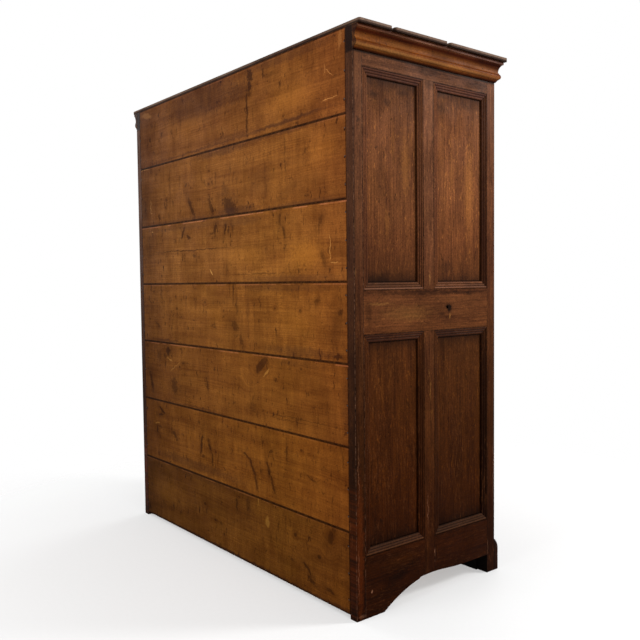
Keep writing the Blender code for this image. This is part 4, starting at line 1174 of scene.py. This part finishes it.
    # Dark plum bands: stains, and near the top of board 7 painted shadow under the top boards.
    BANDS = {
        7: ((700, 260, 1000, 12, 0.45, 0.6), (1160, 250, 480, 16, 0.6, 1.6), (600, 70, 640, 150, 0.5),
            (800, 250, 340, 34, 0.35), (1180, 28, 560, 46, 0.4)),
        6: ((800, 538, 300, 10, 0.5), (740, 287, 420, 46, 0.5), (850, 532, 320, 40, 0.45), (1260, 540, 440, 24, 0.4),
            (420, 540, 640, 26, 0.35), (1150, 280, 560, 26, 0.4), (1010, 445, 180, 120, 0.18)),
        5: ((420, 566, 640, 30, 0.3), (840, 572, 340, 40, 0.35), (1180, 793, 600, 26, 0.35)),
        4: ((260, 1061, 270, 14, 0.5), (1200, 1060, 190, 12, 0.5), (1150, 824, 620, 34, 0.35),
            (1240, 1048, 440, 40, 0.4)),
        3: ((500, 1330, 400, 8, 0.4), (1490, 1200, 60, 220, 0.3), (1250, 1088, 360, 28, 0.25)),
        2: ((520, 1580, 760, 44, 0.4),),
        1: ((760, 1882, 1560, 14, 0.8), (560, 1622, 560, 34, 0.3), (1440, 1884, 240, 24, 0.6)),
    }
    GLOWS = {
        7: ((1200, 180, 360, 110, 0.3), (500, 150, 340, 80, 0.2)),
        6: ((1370, 370, 200, 120, 0.22), (220, 380, 260, 120, 0.12)),
        5: ((1290, 715, 260, 110, 0.4), (900, 700, 300, 100, 0.15)),
        4: ((690, 940, 180, 90, 0.15), (1250, 950, 300, 110, 0.15)),
        1: ((230, 1750, 380, 130, 0.25), (1440, 1830, 120, 90, 0.2)),
    }
    LIPS = {5: 0.6, 4: 0.35, 3: 0.6, 1: 0.45}

    def dress(self) -> None:
        """Give each board its own figure, knots and stains."""
        for number in range(1, 8):
            g = WoodSurface(f"back_board_{number}", BACK_PINE, self.effects, Axis.X, Axis.Y, 3.7 * number)
            g.knots(marks_from(HALF_WIDTH, self.KNOTS.get(number, ())))
            g.grain((g.centre.z + 0.03 * math.sin(2.2 * number), REAR - 0.07 - 0.01 * (number % 3)))
            g.uneven(runs=0.28).wrinkled(0.82, SMUDGE)
            for table, *look in ((self.GLOWS, tone(206, 134, 52), 1.2, 0.95, 1.3),
                                 (self.SMUDGES, SMUDGE, 1.3, 0.55, 1.5, 0.35),
                                 (self.BANDS, PLUM, 0.9, 0.7, 1.35),
                                 (self.SCRATCHES, SCRATCH, 0.6, 0.5, 1.2)):
                g.marks(marks_from(HALF_WIDTH, table.get(number, ())), *look)
            rust = [Mark(x, z, self.rust_width, self.rust_height)
                    for _, x, z in self.nail_places((g.low, g.high))]
            g.marks(rust, tone(38, 22, 16), 0.5, 0.6)
            g.arrises(0.10, 0.97, self.arris)
            # Painted highlight: a pale, patchy band just under each board's upper edge.
            g.mask(self.lip(g), self.LIPS.get(number, 0.15), tone(196, 124, 82))
            # The board tints hold each board's tone and painted shade, and the ramp across the back is painted shade.
            g.tint(BOARD_TINTS[number]).shade(Axis.X, -HALF_WIDTH, HALF_WIDTH, ACROSS_SHADE).done()

    @staticmethod
    def lip(g: WoodSurface) -> Socket:
        """Mask of the painted highlight in a patchy band just under a board's upper edge.

        Args:
            g: Surface of the board.

        Returns:
            The mask.
        """
        top = g.high.z
        patchy = g.step(g.noise(g.ragged_face, 9.0, 4.0, 0.65), 0.44, 0.56)
        under = g.beyond(Axis.Z, top - 0.0105, top - 0.0065)
        return g.times(g.times(under, g.before(Axis.Z, top - 0.0060, top - 0.0035)), patchy)

    def nail_places(self, box: Box) -> Iterable[Tuple[str, float, float]]:
        """Places of a board's nails.

        Args:
            box: Lowest and highest corner of the board.

        Yields:
            Word for the place, x and z.
        """
        middle = (box[0].z + box[1].z) / 2
        for side in Side:
            x = side.value * (box[1].x - self.nail_from_end)
            for number in (-1, 0, 1):
                yield f"{side.label}_{number + 2}", x, middle + number * self.nail_spacing

    def build(self, iron: Material) -> None:
        """Nail the boards with iron nails, each turned a little differently.

        Args:
            iron: Material of the nails.
        """
        pattern = Piece.nail("back_nail", self.head_width, self.head_length, self.head_proud, iron)
        for number in range(1, 8):
            name = f"back_board_{number}"
            for place, x, z in self.nail_places(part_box(name)):
                turn = Matrix.Rotation(0.7 * math.sin(37 * x + 91 * z), 4, "Y")
                pattern.copy(f"{name}_nail_{place}", (x, REAR, z), turn, FACING_REAR).fit("carcass", "iron")
        pattern.discard()


@dataclass
class CupboardEnd:
    """Framed and panelled end: posts, rails, muntins and four moulded panels."""

    effects: Effects
    side: Side
    muntin: Tuple[float, float] = (-0.0035, 0.048)
    posts: Tuple[float, float] = (-0.286, 0.323)
    levels: Tuple[float, float, float, float] = (0.204, 0.922, 1.0644, 1.767)
    cornice_foot: float = 1.8135
    arris: float = 0.0036
    foot_shadow: Tuple[float, float] = (0.114, 0.144)

    STREAKS = {
        "panel_upper_rear": ((240, 430, 60, 300, 0.4), (155, 620, 34, 150, 0.4), (270, 330, 12, 120, 0.45),
                             (185, 360, 16, 200, 0.25)),
        "panel_upper_front": ((560, 480, 70, 460, 0.45), (562, 706, 10, 28, 0.8), (548, 668, 8, 60, 0.6),
                              (470, 420, 30, 260, 0.25)),
        "panel_lower_rear": ((128, 1180, 7, 220, 0.55), (160, 1150, 6, 260, 0.45), (205, 1240, 8, 220, 0.35),
                             (240, 1250, 6, 260, 0.4)),
        "panel_lower_front": ((468, 1455, 9, 76, 0.7), (452, 1480, 6, 50, 0.6), (610, 1225, 6, 70, 0.7),
                              (485, 1600, 7, 60, 0.6), (560, 1560, 7, 120, 0.4), (430, 1420, 5, 60, 0.4),
                              (520, 1580, 220, 300, 0.13)),
        "lower_muntin": ((346, 1185, 12, 110, 0.6), (338, 1120, 7, 50, 0.5), (350, 1270, 8, 60, 0.4)),
        "upper_muntin": ((344, 800, 12, 60, 0.6),),
        "mid_rail": ((110, 880, 150, 14, 0.4), (250, 925, 190, 26, 0.35), (446, 930, 14, 30, 0.7),
                     (240, 915, 320, 80, 0.24)),
        "bottom_rail": ((378, 1757, 2.6, 80, 0.5), (110, 1818, 9, 12, 0.6, 30), (195, 1745, 240, 70, 0.16)),
        "rear_post": ((3, 780, 4, 46, 0.8), (3, 650, 3, 160, 0.6), (2, 1000, 3, 90, 0.4)),
    }
    DARK = {
        "top_rail": ((600, 112, 200, 44, 0.45), (335, 104, 170, 32, 0.35)),
        "panel_upper_rear": ((95, 210, 70, 44, 0.55), (155, 228, 50, 40, 0.5), (225, 190, 80, 30, 0.45),
                             (110, 800, 140, 60, 0.5)),
        "panel_upper_front": ((420, 210, 120, 60, 0.45), (540, 190, 160, 40, 0.35), (430, 760, 120, 80, 0.45),
                              (620, 136, 170, 34, 0.5), (586, 824, 200, 26, 0.55)),
        "panel_lower_rear": ((52, 1660, 50, 60, 0.5),),
        "upper_muntin": ((345, 140, 70, 60, 0.4),),
        "mid_rail": ((440, 900, 44, 40, 0.97), (60, 910, 40, 120, 0.4), (300, 1040, 460, 16, 0.4),
                     (330, 846, 900, 24, 0.55)),
        "bottom_rail": ((323, 1757, 3.5, 90, 0.8), (372, 1757, 3.5, 90, 0.85), (180, 1800, 160, 60, 0.5, 20)),
        "lower_muntin": ((323, 1757, 4, 90, 0.7), (372, 1757, 4, 90, 0.7)),
    }
    WORN = {
        "lower_muntin": ((367, 1750, 5, 104, 0.75), (330, 1600, 3, 150, 0.4)),
        "bottom_rail": ((66, 1815, 9, 10, 0.7, 30),),
        "rear_post": ((9, 1750, 4, 230, 0.28), (22, 1888, 40, 12, 0.22), (11, 1420, 3, 300, 0.28)),
        "front_post": ((652, 1800, 5, 90, 0.25), (684, 1500, 4, 420, 0.28)),
    }
    # Soft, warm, paler patch low on the rear post.
    SUNNED = ((15, 1680, 48, 640, 0.11),)
    # Strength of the painted shade on each panel's forward upright moulding strip.
    FORWARD_GRIME = {"panel_upper_rear": 0.12, "panel_upper_front": 0.72, "panel_lower_rear": 0.25,
                     "panel_lower_front": 0.68}
    FRAME = ("rear_post", "front_post", "upper_muntin", "lower_muntin", "top_rail", "mid_rail", "bottom_rail")

    def name(self, piece: str) -> str:
        """Node name of a piece of this end."""
        return f"{self.side.label}_end_{piece}"

    def seen(self, table: Dict[str, Rows], piece: str) -> Sequence[Mark]:
        """Marks of a piece; only the left end is seen, so the right one has none of its own."""
        return marks_from(REAR, table.get(piece, ())) if self.side is Side.LEFT else ()

    def dress(self) -> None:
        """Give every piece of this end its material."""
        seed = 11.0 if self.side is Side.LEFT else 47.0
        for number, piece in enumerate(self.FRAME):
            self.dress_frame(piece, Axis.Y if piece.endswith("rail") else Axis.Z, seed + 2.3 * number)
        for number, piece in enumerate(self.FORWARD_GRIME):
            self.dress_panel(piece, seed + 19 + 3.1 * number)

    def dress_frame(self, piece: str, along: Axis, seed: float) -> None:
        """Material of a post, rail or muntin.

        Args:
            piece: Name of the piece.
            along: Direction of its grain.
            seed: Chooses the figure.
        """
        g = WoodSurface(self.name(piece), OAK_FRAME, self.effects, along, Axis.X, seed)
        across = g.centre[g.across.value] + 0.05 * math.sin(seed)
        g.grain((across, g.centre.x - self.side.value * 0.09)).uneven()
        g.marks(self.seen(self.DARK, piece), tone(24, 13, 9), 0.8, 0.7)
        g.marks(self.seen(self.STREAKS, piece), tone(188, 132, 74), 1.2, 0.8)
        g.arrises(0.60 if piece == "rear_post" else 0.40, 0.75, self.arris)
        # Painted shadow under the cornice: a near-black band just below its foot.
        under = g.beyond(Axis.Z, self.cornice_foot - 0.012, self.cornice_foot - 0.002)
        g.mask(under, 0.90, tone(16, 5, 3))
        rear = g.high.y
        # Dark strip along the rear post's rear edge: stain, with painted shade.
        if piece == "rear_post":
            g.mask(g.beyond(Axis.Y, rear - 0.012, rear - 0.001), 0.50, tone(40, 22, 16))
        g.tint(END_TINTS[piece]).shade(Axis.Z, 0.0, HEIGHT, END_SHADE)
        g.rubbed(0.24 if along is Axis.Z else 0.15)
        g.marks(self.seen(self.WORN, piece), tone(158, 108, 80), 1.2, 0.7)
        if piece == "rear_post":
            g.marks(marks_from(REAR, self.SUNNED), tone(178, 80, 26), 1.2, 0.7)
            g.arrises(0.38, 0.0, 0.0030, tone(152, 108, 84))
        if piece == "front_post":
            # Painted shadow: the front post's rear face, near black at its foot.
            shaded_rear_face = g.beyond(Axis.Y, rear - 0.0012, rear - 0.0004)
            g.mask(g.times(shaded_rear_face, g.before(Axis.Z, *self.foot_shadow)), 1.0, tone(8, 3, 2))
        g.done()

    def dress_panel(self, piece: str, seed: float) -> None:
        """Material of a panel with its mitred moulding.

        Args:
            piece: Name of the panel.
            seed: Chooses the figure.
        """
        across = (self.muntin[1], self.posts[1]) if piece.endswith("rear") else (self.posts[0], self.muntin[0])
        up = self.levels[2:] if "upper" in piece else self.levels[:2]
        middle, half_way = sum(across) / 2, sum(up) / 2
        g = MouldedPanel(self.name(piece), self.effects, Axis.X, seed, across, up)
        g.grain((middle + 0.06 * math.sin(seed), self.side.value * 0.66), g.turned).uneven()
        g.marks(self.seen(self.DARK, piece), tone(30, 20, 13), 1.0, 0.95)
        g.marks(self.seen(self.STREAKS, piece), tone(176, 112, 52), 1.5, 0.95)
        # The field darkens near its top and its foot: painted shadow under the upper moulding, and darker at the foot.
        # The moulding also gets a tone of its own.
        g.mask(g.shelter, 0.72, tone(36, 22, 17)).mask(g.moulding, 0.35, tone(104, 62, 46))
        # Painted shade on the forward upright strip of the moulding.
        forward = g.times(g.minus(g.moulding, g.turned), g.math("LESS_THAN", g.parts[1], middle))
        g.mask(forward, self.FORWARD_GRIME[piece], tone(26, 5, 1))
        # Painted shade on the upper strip of the moulding, which faces down.
        over = g.times(g.turned, g.math("GREATER_THAN", g.parts[2], half_way))
        g.mask(over, 0.50, tone(66, 42, 42))
        # Painted highlight along the outer part of the lower moulding strip, which faces up.
        sill = g.times(g.beyond(Axis.Z, up[0] + 0.0015, up[0] + 0.0025),
                       g.before(Axis.Z, up[0] + 0.0065, up[0] + 0.0080))
        g.mask(sill, 0.42 if piece.endswith("rear") else 0.20, tone(196, 138, 110))
        g.crevices(0.85, 0.80)
        g.tint(END_TINTS[piece]).shade(Axis.Z, 0.0, HEIGHT, END_SHADE).rubbed(0.26)
        # Painted highlight on the reeds of the lower moulding strips, which face up.
        under = g.times(g.turned, g.math("LESS_THAN", g.parts[2], half_way))
        g.mask(g.times(under, g.minus(1.0, g.groove)), 0.07, tone(160, 124, 96)).done()


@dataclass
class TopBoards:
    """Three loose, unfinished boards on top, nailed down at the ends."""

    effects: Effects
    nail_at: float = 0.742
    nail_from_edge: float = 0.035
    carcass_front: float = -0.33
    head: Tuple[float, float, float] = (0.0056, 0.004, 0.0005)
    names: Tuple[str, ...] = ("top_board_front", "top_board_middle", "top_board_rear")

    def dress(self) -> None:
        """Give each board its material."""
        for number, name in enumerate(self.names):
            g = WoodSurface(name, PINE_TOP, self.effects, Axis.X, Axis.Z, 71 + 5.3 * number)
            g.grain((g.centre.y, HEIGHT - 0.06)).uneven().arrises(0.50, 0.30)
            end = g.high.x
            ends = g.step(g.math("ABSOLUTE", g.parts[0]), end - 0.003, end - 0.0005)
            g.mask(ends, 0.55, tone(140, 114, 98))
            # Painted shadow on the lower part of each board's edges, near black.
            foot = g.before(Axis.Z, HEIGHT - 0.0095, HEIGHT - 0.0050)
            g.mask(foot, 0.85, tone(26, 10, 6)).done()

    def build(self, iron: Material) -> None:
        """Nail the boards to the end rails.

        Args:
            iron: Material of the nails.
        """
        pattern = Piece.nail("top_nail", *self.head, iron)
        for name in self.names:
            low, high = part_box(name)
            inner = (max(low.y, self.carcass_front) + self.nail_from_edge, high.y - self.nail_from_edge)
            for side in Side:
                for number, y in enumerate(inner, 1):
                    place = (side.value * self.nail_at, y, HEIGHT)
                    pattern.copy(f"{name}_nail_{side.label}_{number}", place).fit("carcass", "iron")
        pattern.discard()


@dataclass
class Cornice:
    """Moulded cornice: a front length and two returns."""

    effects: Effects
    bottom: float = 1.814
    top: float = 1.888
    bead_crown: float = 1.827

    # Painted shade and highlight down the cornice's profile, from its foot (0) to its top (1): shadow under the bead,
    # a bright bead, a dark quirk, a bright lower cove, shade in the upper cove and a shadow under the top boards.
    PROFILE_SHADE = (
        (0.0, 0.06, 0.03, 0.02), (0.04, 0.22, 0.13, 0.08), (0.12, 0.74, 0.70, 0.52), (0.20, 0.96, 0.94, 0.78),
        (0.25, 0.88, 0.82, 0.62), (0.295, 0.72, 0.58, 0.34), (0.33, 0.38, 0.25, 0.10), (0.365, 0.74, 0.62, 0.34),
        (0.46, 1.0, 0.94, 0.52), (0.56, 0.78, 0.74, 0.50), (0.66, 0.34, 0.26, 0.18), (0.74, 0.13, 0.05, 0.03),
        (0.80, 0.24, 0.13, 0.12), (0.835, 0.56, 0.56, 0.86), (0.90, 0.40, 0.38, 0.62), (0.95, 0.16, 0.10, 0.10),
        (1.0, 0.05, 0.02, 0.02))
    RETURN_SHADE = (
        (0.0, 0.68, 0.60, 0.66), (0.16, 0.86, 0.82, 0.86), (0.40, 0.97, 0.97, 0.97), (1.0, 0.94, 0.92, 0.86))
    BRADS = ((42, 36, 5, 6, 0.8), (190, 33, 5, 6, 0.8), (345, 37, 5, 6, 0.8), (460, 58, 6, 6, 0.8),
             (610, 52, 6, 6, 0.8))

    def dress(self) -> None:
        """Give each length its material, with painted shade and highlight down its profile and dark quirks."""
        for name, along, normal, seed in (("cornice_front", Axis.X, Axis.Y, 91.0),
                                          ("cornice_left", Axis.Y, Axis.X, 95.5),
                                          ("cornice_right", Axis.Y, Axis.X, 99.2)):
            g = WoodSurface(name, OAK_CORNICE, self.effects, along, normal, seed)
            g.grain((g.centre.z + 0.02, g.centre[normal.value] + 0.08)).uneven(1.5)
            g.shade(Axis.Z, self.bottom, self.top, self.PROFILE_SHADE)
            crown = g.fall(g.math("ABSOLUTE", g.minus(g.parts[2], self.bead_crown)), 0.001, 0.006)
            g.mask(crown, 0.22, tone(214, 156, 96)).wrinkled(0.55, tone(56, 24, 12))
            if normal is Axis.X:
                g.shade(Axis.Y, g.low.y, g.high.y, self.RETURN_SHADE)
                g.mask(g.beyond(Axis.Y, g.high.y - 0.003, g.high.y - 0.0005), 0.8, tone(34, 19, 13))
            if name == "cornice_left":
                g.marks(marks_from(REAR, self.BRADS), tone(30, 16, 10), 0.4, 0.5)
            g.arrises(0.30, 0.30, 0.002).done()


@dataclass
class Doors:
    """Pair of panelled doors: frames and panels."""

    effects: Effects
    hinged_edge: float = 0.718
    meeting_edge: float = 0.0015
    stile: float = 0.075
    levels: Tuple[float, float, float, float] = (0.2155, 0.922, 1.0644, 1.730)

    def dress(self) -> None:
        """Give frames and panels their materials."""
        for side in Side:
            seed = 120.0 + 17 * side.value
            self.dress_frame(side, seed)
            self.dress_panel(side, "lower", self.levels[:2], seed + 31)
            self.dress_panel(side, "upper", self.levels[2:], seed + 31 + 3.7)

    def dress_frame(self, side: Side, seed: float) -> None:
        """Material of a door's frame: stiles run up, rails across, with a joint line between them.

        Args:
            side: Side of the door.
            seed: Chooses the figure.
        """
        g = WoodSurface(f"{side.label}_door_frame", OAK_FRAME, self.effects, Axis.Z, Axis.Y, seed)
        to_edge = g.least(g.minus(g.parts[0], g.low.x), g.minus(g.high.x, g.parts[0]))
        g.grain((g.centre.x, -0.25), g.step(to_edge, self.stile - 0.0002, self.stile + 0.0002)).uneven()
        line = g.fall(g.math("ABSOLUTE", g.minus(to_edge, self.stile)), 0.0003, 0.0010)
        g.mask(line, 0.7, tone(22, 12, 8)).arrises(0.35, 0.5, 0.0028)
        g.tint((0.86, 0.86, 0.88)).shade(Axis.Z, 0.0, HEIGHT, FRONT_SHADE).done()

    def dress_panel(self, side: Side, level: str, up: Span, seed: float) -> None:
        """Material of a door's panel with its moulding.

        Args:
            side: Side of the door.
            level: lower or upper.
            up: Foot and top of its opening.
            seed: Chooses the figure.
        """
        inner, outer = self.meeting_edge + self.stile, self.hinged_edge - self.stile
        across = sorted((side.value * inner, side.value * outer))
        g = MouldedPanel(f"{side.label}_door_panel_{level}", self.effects, Axis.Y, seed, across, up)
        g.grain((sum(across) / 2 + 0.05 * math.sin(seed), -0.21), g.turned).uneven()
        # The field darkens near its top and its foot: painted shadow under the upper moulding, and darker at the foot.
        # The moulding also gets a tone of its own.
        g.mask(g.shelter, 0.45, tone(34, 20, 15)).mask(g.moulding, 0.45, tone(84, 48, 34))
        g.crevices(0.75, 0.75)
        g.tint((0.82, 0.80, 0.80)).shade(Axis.Z, 0.0, HEIGHT, FRONT_SHADE).done()


@dataclass
class FrontRails:
    """Frieze rail, base rail and plinth across the front."""

    effects: Effects

    def dress(self) -> None:
        """Give the rails and the plinth their materials."""
        for number, name in enumerate(("frieze_rail", "base_rail", "front_plinth")):
            g = WoodSurface(name, OAK_FRAME, self.effects, Axis.X, Axis.Y, 160 + 4.1 * number)
            g.grain((g.centre.z, g.centre.y + 0.07)).uneven().arrises(0.35, 0.5)
            if name == "front_plinth":
                # Painted shadow on the blocks behind the plinth's front, near black; the plinth's ends are darker end
                # grain with painted shade.
                g.mask(g.beyond(Axis.Y, FRONT - 0.006, FRONT), 1.0, tone(12, 5, 3))
                ends = g.step(g.math("ABSOLUTE", g.parts[0]), g.high.x - 0.004, g.high.x - 0.001)
                g.mask(ends, 0.75, tone(16, 7, 4))
            g.shade(Axis.Z, 0.0, HEIGHT, FRONT_SHADE).done()


@dataclass
class Inside:
    """Floor board and shelves, of unfinished deal."""

    effects: Effects

    def dress(self) -> None:
        """Give the floor and the shelves their materials."""
        for number, name in enumerate(("floor_board", "shelf_lower", "shelf_middle", "shelf_upper")):
            g = WoodSurface(name, PINE_INSIDE, self.effects, Axis.X, Axis.Z, 200 + 6.7 * number)
            g.knots(self.knots(number, g.low, g.high - g.low))
            g.grain((g.centre.y - 0.04 * math.sin(3.0 * number), g.low.z - 0.08)).uneven().arrises(0.2, 0.35).done()

    def knots(self, number: int, low: Vector, size: Vector) -> Iterable[Mark]:
        """A few knots, spread over a board by its number.

        Args:
            number: Number of the board.
            low: Its lowest corner.
            size: Its size along each axis.

        Yields:
            The knots, one by one.
        """
        for turn in range(4):
            across = (0.17 + 0.27 * turn + 0.11 * number) % 1.0
            up = 0.2 + 0.6 * ((0.37 * turn + 0.23 * number) % 1.0)
            yield Mark(low.x + size.x * across, low.y + size.y * up, 0.026 - 0.004 * turn, 0.014, 0.7)


@dataclass
class Ironwork:
    """Hinges with their screws, the lock and its screws, the keyhole plate, key and bolts."""

    inner_width: float = 1.439
    side_gap: float = 0.0015
    leaf_width: float = 0.022
    hinge_height: float = 0.075
    middles: Tuple[float, float] = (0.3005, 1.630)
    screw_radius: float = 0.0032
    key_place: Tuple[float, float] = (0.0295, 0.985)
    plate_size: Tuple[float, float] = (0.021, 0.040)
    plate_thickness: float = 0.0014
    plate_sides: int = 40
    plate_drop: float = 0.004
    lock: Tuple[float, float, float, float] = (0.0045, 0.0665, 0.970, 1.016)
    lock_face: float = -0.2907
    screw_inset: float = 0.006
    hole_radius: float = 0.0031
    hole_sides: int = 20
    bit_slot: Place = (0.0028, 0.0100, 0.01)
    bevel: float = 0.00018
    pin: Tuple[float, float, float] = (0.0026, 0.0026, 0.0007)
    pin_seat: float = 0.0009

    SCREWS = ((-0.36, 0.64), (0.0, 0.36), (0.36, 0.64))
    PINS = (("upper", 0.0125), ("lower", -0.0205))
    RIM = ((0.10, 0.25), (0.06, -0.18))

    def dress(self, iron: Material, brass: Material) -> None:
        """Give the metal nodes their materials.

        Args:
            iron: Material of the hinges, lock case, key and rod.
            brass: Material of the lock's bolt.
        """
        leaves = [f"{side.label}_{level}_hinge_{leaf}_leaf" for side in Side for level in ("lower", "upper")
                  for leaf in ("door", "post")]
        for name in (*leaves, "lock_case", "key", "left_bolt_rod"):
            dress(name, iron)
        dress("lock_bolt", brass)

    def build(self, iron: Material, brass: Material) -> None:
        """Make the screws and the keyhole plate.

        Args:
            iron: Material of the screws.
            brass: Material of the plate and its pins.
        """
        pattern = Piece.screw("screw", self.screw_radius, iron)
        self.hinge_screws(pattern)
        self.lock_screws(pattern)
        pattern.discard()
        self.keyhole_plate(brass)

    def hinge_screws(self, pattern: Piece) -> None:
        """Three screws in each leaf, which face the gap between door and post.

        Args:
            pattern: The screw.
        """
        levels = zip(("lower", "upper"), self.middles)
        leaves = (("post", -1, 0.0), ("door", 1, self.side_gap))
        for side, (level, middle), (leaf, out, gap) in product(Side, levels, leaves):
            body = "carcass" if leaf == "post" else f"{side.label}_door"
            turn = Matrix.Rotation(math.radians(90 * out * side.value), 4, "Y")
            for number, (share, depth) in enumerate(self.SCREWS, 1):
                place = (side.value * (self.inner_width / 2 - gap), FRONT + self.leaf_width * depth,
                         middle + share * self.hinge_height)
                name = f"{side.label}_{level}_hinge_{leaf}_screw_{number}"
                pattern.copy(name, place, turn, Matrix.Rotation(0.9 * number + middle, 4, "Z")).fit(body, "iron")

    def lock_screws(self, pattern: Piece) -> None:
        """Four screws in the corners of the lock case.

        Args:
            pattern: The screw.
        """
        left, right, low, high = self.lock
        places = [(x, z) for x in (left + self.screw_inset, right - self.screw_inset)
                  for z in (low + self.screw_inset, high - self.screw_inset)]
        for number, (x, z) in enumerate(places, 1):
            spin = Matrix.Rotation(1.1 * number, 4, "Z")
            screw = pattern.copy(f"lock_screw_{number}", (x, self.lock_face, z), FACING_REAR, spin)
            screw.fit("right_door", "iron")

    def keyhole_plate(self, brass: Material) -> None:
        """Oval brass plate on the right door, with a keyhole and two pins.

        Args:
            brass: Material of the plate and its pins.
        """
        x, z = self.key_place
        plate = Piece.cylinder("keyhole_plate", 0.5, 1.0, 0.0, self.plate_sides)
        plate.pick(1)
        for inward, upward in self.RIM:
            bpy.ops.mesh.inset(thickness=inward, depth=0)
            bpy.ops.transform.translate(value=(0, 0, upward))
        bpy.ops.mesh.select_all(action="SELECT")
        thick = self.plate_thickness / (1 + self.RIM[0][1])
        plate.resize(*self.plate_size, thick)
        plate.leave()
        plate.item.data.transform(Matrix.Translation((0, -self.plate_drop, thick / 2)))
        plate.carve(Piece.cylinder("round_hole", self.hole_radius, self.bit_slot[2], 0.0, self.hole_sides))
        plate.carve(Piece.block("bit_slot", self.bit_slot, (0, -self.bit_slot[1] / 2, 0)))
        plate.modify("BEVEL", width=self.bevel, segments=2, limit_method="ANGLE", angle_limit=math.radians(50))
        plate.item.data.transform(Matrix.Translation((x, FRONT, z)) @ FACING_FRONT)
        plate.settle(brass, 35.0).fit("right_door", "brass")
        pin = Piece.nail("plate_pin", *self.pin, brass)
        for name, lift in self.PINS:
            made = pin.copy(f"keyhole_plate_pin_{name}", (x, FRONT - self.pin_seat, z + lift), FACING_FRONT)
            made.fit("right_door", "brass")
        pin.discard()


@dataclass
class Studio:
    """Plain pale floor, soft light and the camera at the photograph's angle."""

    camera_place: Place = (-2.547, 1.928, 1.091)
    yaw: float = 231.34
    pitch: float = 2.84
    roll: float = -0.632
    focal_pixels: float = 754.8
    picture_pixels: int = 640
    sensor: float = 36.0
    aim: Place = (0.0, 0.0, 1.1)
    floor_radius: float = 7.0
    floor_sides: int = 96
    floor_drop: float = 0.0005

    LAMPS = (("lamp_back", (-0.2, 4.3, 2.3), 3.0, 104.0), ("lamp_key", (-2.9, -3.0, 3.0), 1.1, 120.0),
             ("lamp_end", (-4.6, 1.0, 2.3), 3.0, 42.0), ("lamp_front", (1.8, -4.2, 2.4), 3.0, 70.0),
             ("lamp_right", (4.6, 1.0, 2.4), 3.0, 70.0))

    def build(self) -> None:
        """Make the camera, the world, the lamps and the floor."""
        self.camera()
        self.world()
        self.lamps()
        self.floor()
        bpy.context.scene.view_settings.view_transform = "Standard"

    def camera(self) -> None:
        """Camera fitted to the photograph's edges."""
        yaw, tilt, roll = (math.radians(angle) for angle in (self.yaw, 90 - self.pitch, self.roll))
        turn = Matrix.Rotation(yaw, 4, "Z") @ Matrix.Rotation(tilt, 4, "X") @ Matrix.Rotation(roll, 4, "Z")
        data = bpy.data.cameras.new("camera")
        data.sensor_width = self.sensor
        data.lens = self.focal_pixels / self.picture_pixels * self.sensor
        camera = bpy.data.objects.new("camera", data)
        camera.matrix_world = Matrix.Translation(self.camera_place) @ turn
        bpy.context.scene.collection.objects.link(camera)
        bpy.context.scene.camera = camera

    def world(self) -> None:
        """White to the camera and in reflections, soft light to everything else."""
        world = bpy.data.worlds.new("studio")
        world.use_nodes = True
        bpy.context.scene.world = world
        g = Graph(world.node_tree)
        rays = g.add("LightPath").outputs
        seen = g.most(rays["Is Camera Ray"], g.most(rays["Is Glossy Ray"], rays["Is Transmission Ray"]))
        g.fill(g.tree.nodes["Background"].inputs, Color=grey(1.0), Strength=g.plus(g.times(seen, 0.6), 0.4))

    def lamps(self) -> None:
        """Round soft lamps behind, beside and in front of the cupboard, aimed at its middle."""
        for name, place, size, power in self.LAMPS:
            data = bpy.data.lights.new(name, "AREA")
            data.shape, data.size, data.energy = "DISK", size, power
            lamp = bpy.data.objects.new(name, data)
            lamp.location = place
            lamp.rotation_mode = "QUATERNION"
            lamp.rotation_quaternion = (Vector(self.aim) - Vector(place)).to_track_quat("-Z", "Y")
            bpy.context.scene.collection.objects.link(lamp)

    def floor(self) -> None:
        """Round pale floor that fades into the white background."""
        Piece.leave()
        bpy.ops.mesh.primitive_circle_add(vertices=self.floor_sides, radius=self.floor_radius, fill_type="NGON")
        floor = bpy.context.object
        floor.location.z = -self.floor_drop
        Piece(floor, "floor").take()
        bpy.ops.object.transform_apply(location=True, rotation=True, scale=True)
        g = Coat("floor")
        seen = g.add("LightPath").outputs["Is Camera Ray"]
        speckle = g.noise(g.place, 60.0, 3.0)
        pale, dull = g.mix(speckle, grey(0.97), grey(1.0)), g.mix(speckle, grey(0.56), grey(0.60))
        g.fill(g.shader.inputs, Base_Color=g.mix(seen, dull, pale), Roughness=0.9, Specular_IOR_Level=0.0)
        fade = g.step(g.vector("LENGTH", g.place), 0.9, 2.4, 0.4, 1.0)
        clear = g.add("BsdfTransparent")
        blend = g.add("MixShader", fade, g.shader.outputs[0], clear.outputs[0])
        g.fill(g.tree.nodes["Material Output"].inputs, Surface=blend.outputs[0])
        floor.data.materials.append(g.material)


def main() -> None:
    """Dress the cupboard, make its small pieces, and set the studio up."""
    logging.basicConfig(level=logging.INFO, format="%(message)s")
    effects = Effects()
    iron, brass = IRON.material("blackened_iron"), BRASS.material("old_brass")
    back = BackBoards(effects)
    back.dress()
    back.build(iron)
    for side in Side:
        CupboardEnd(effects, side).dress()
    top = TopBoards(effects)
    top.dress()
    top.build(iron)
    for part in (Cornice(effects), FrontRails(effects), Inside(effects), Doors(effects)):
        part.dress()
    metal = Ironwork()
    metal.dress(iron, brass)
    metal.build(iron, brass)
    Studio().build()


if __name__ == "__main__":
    main()
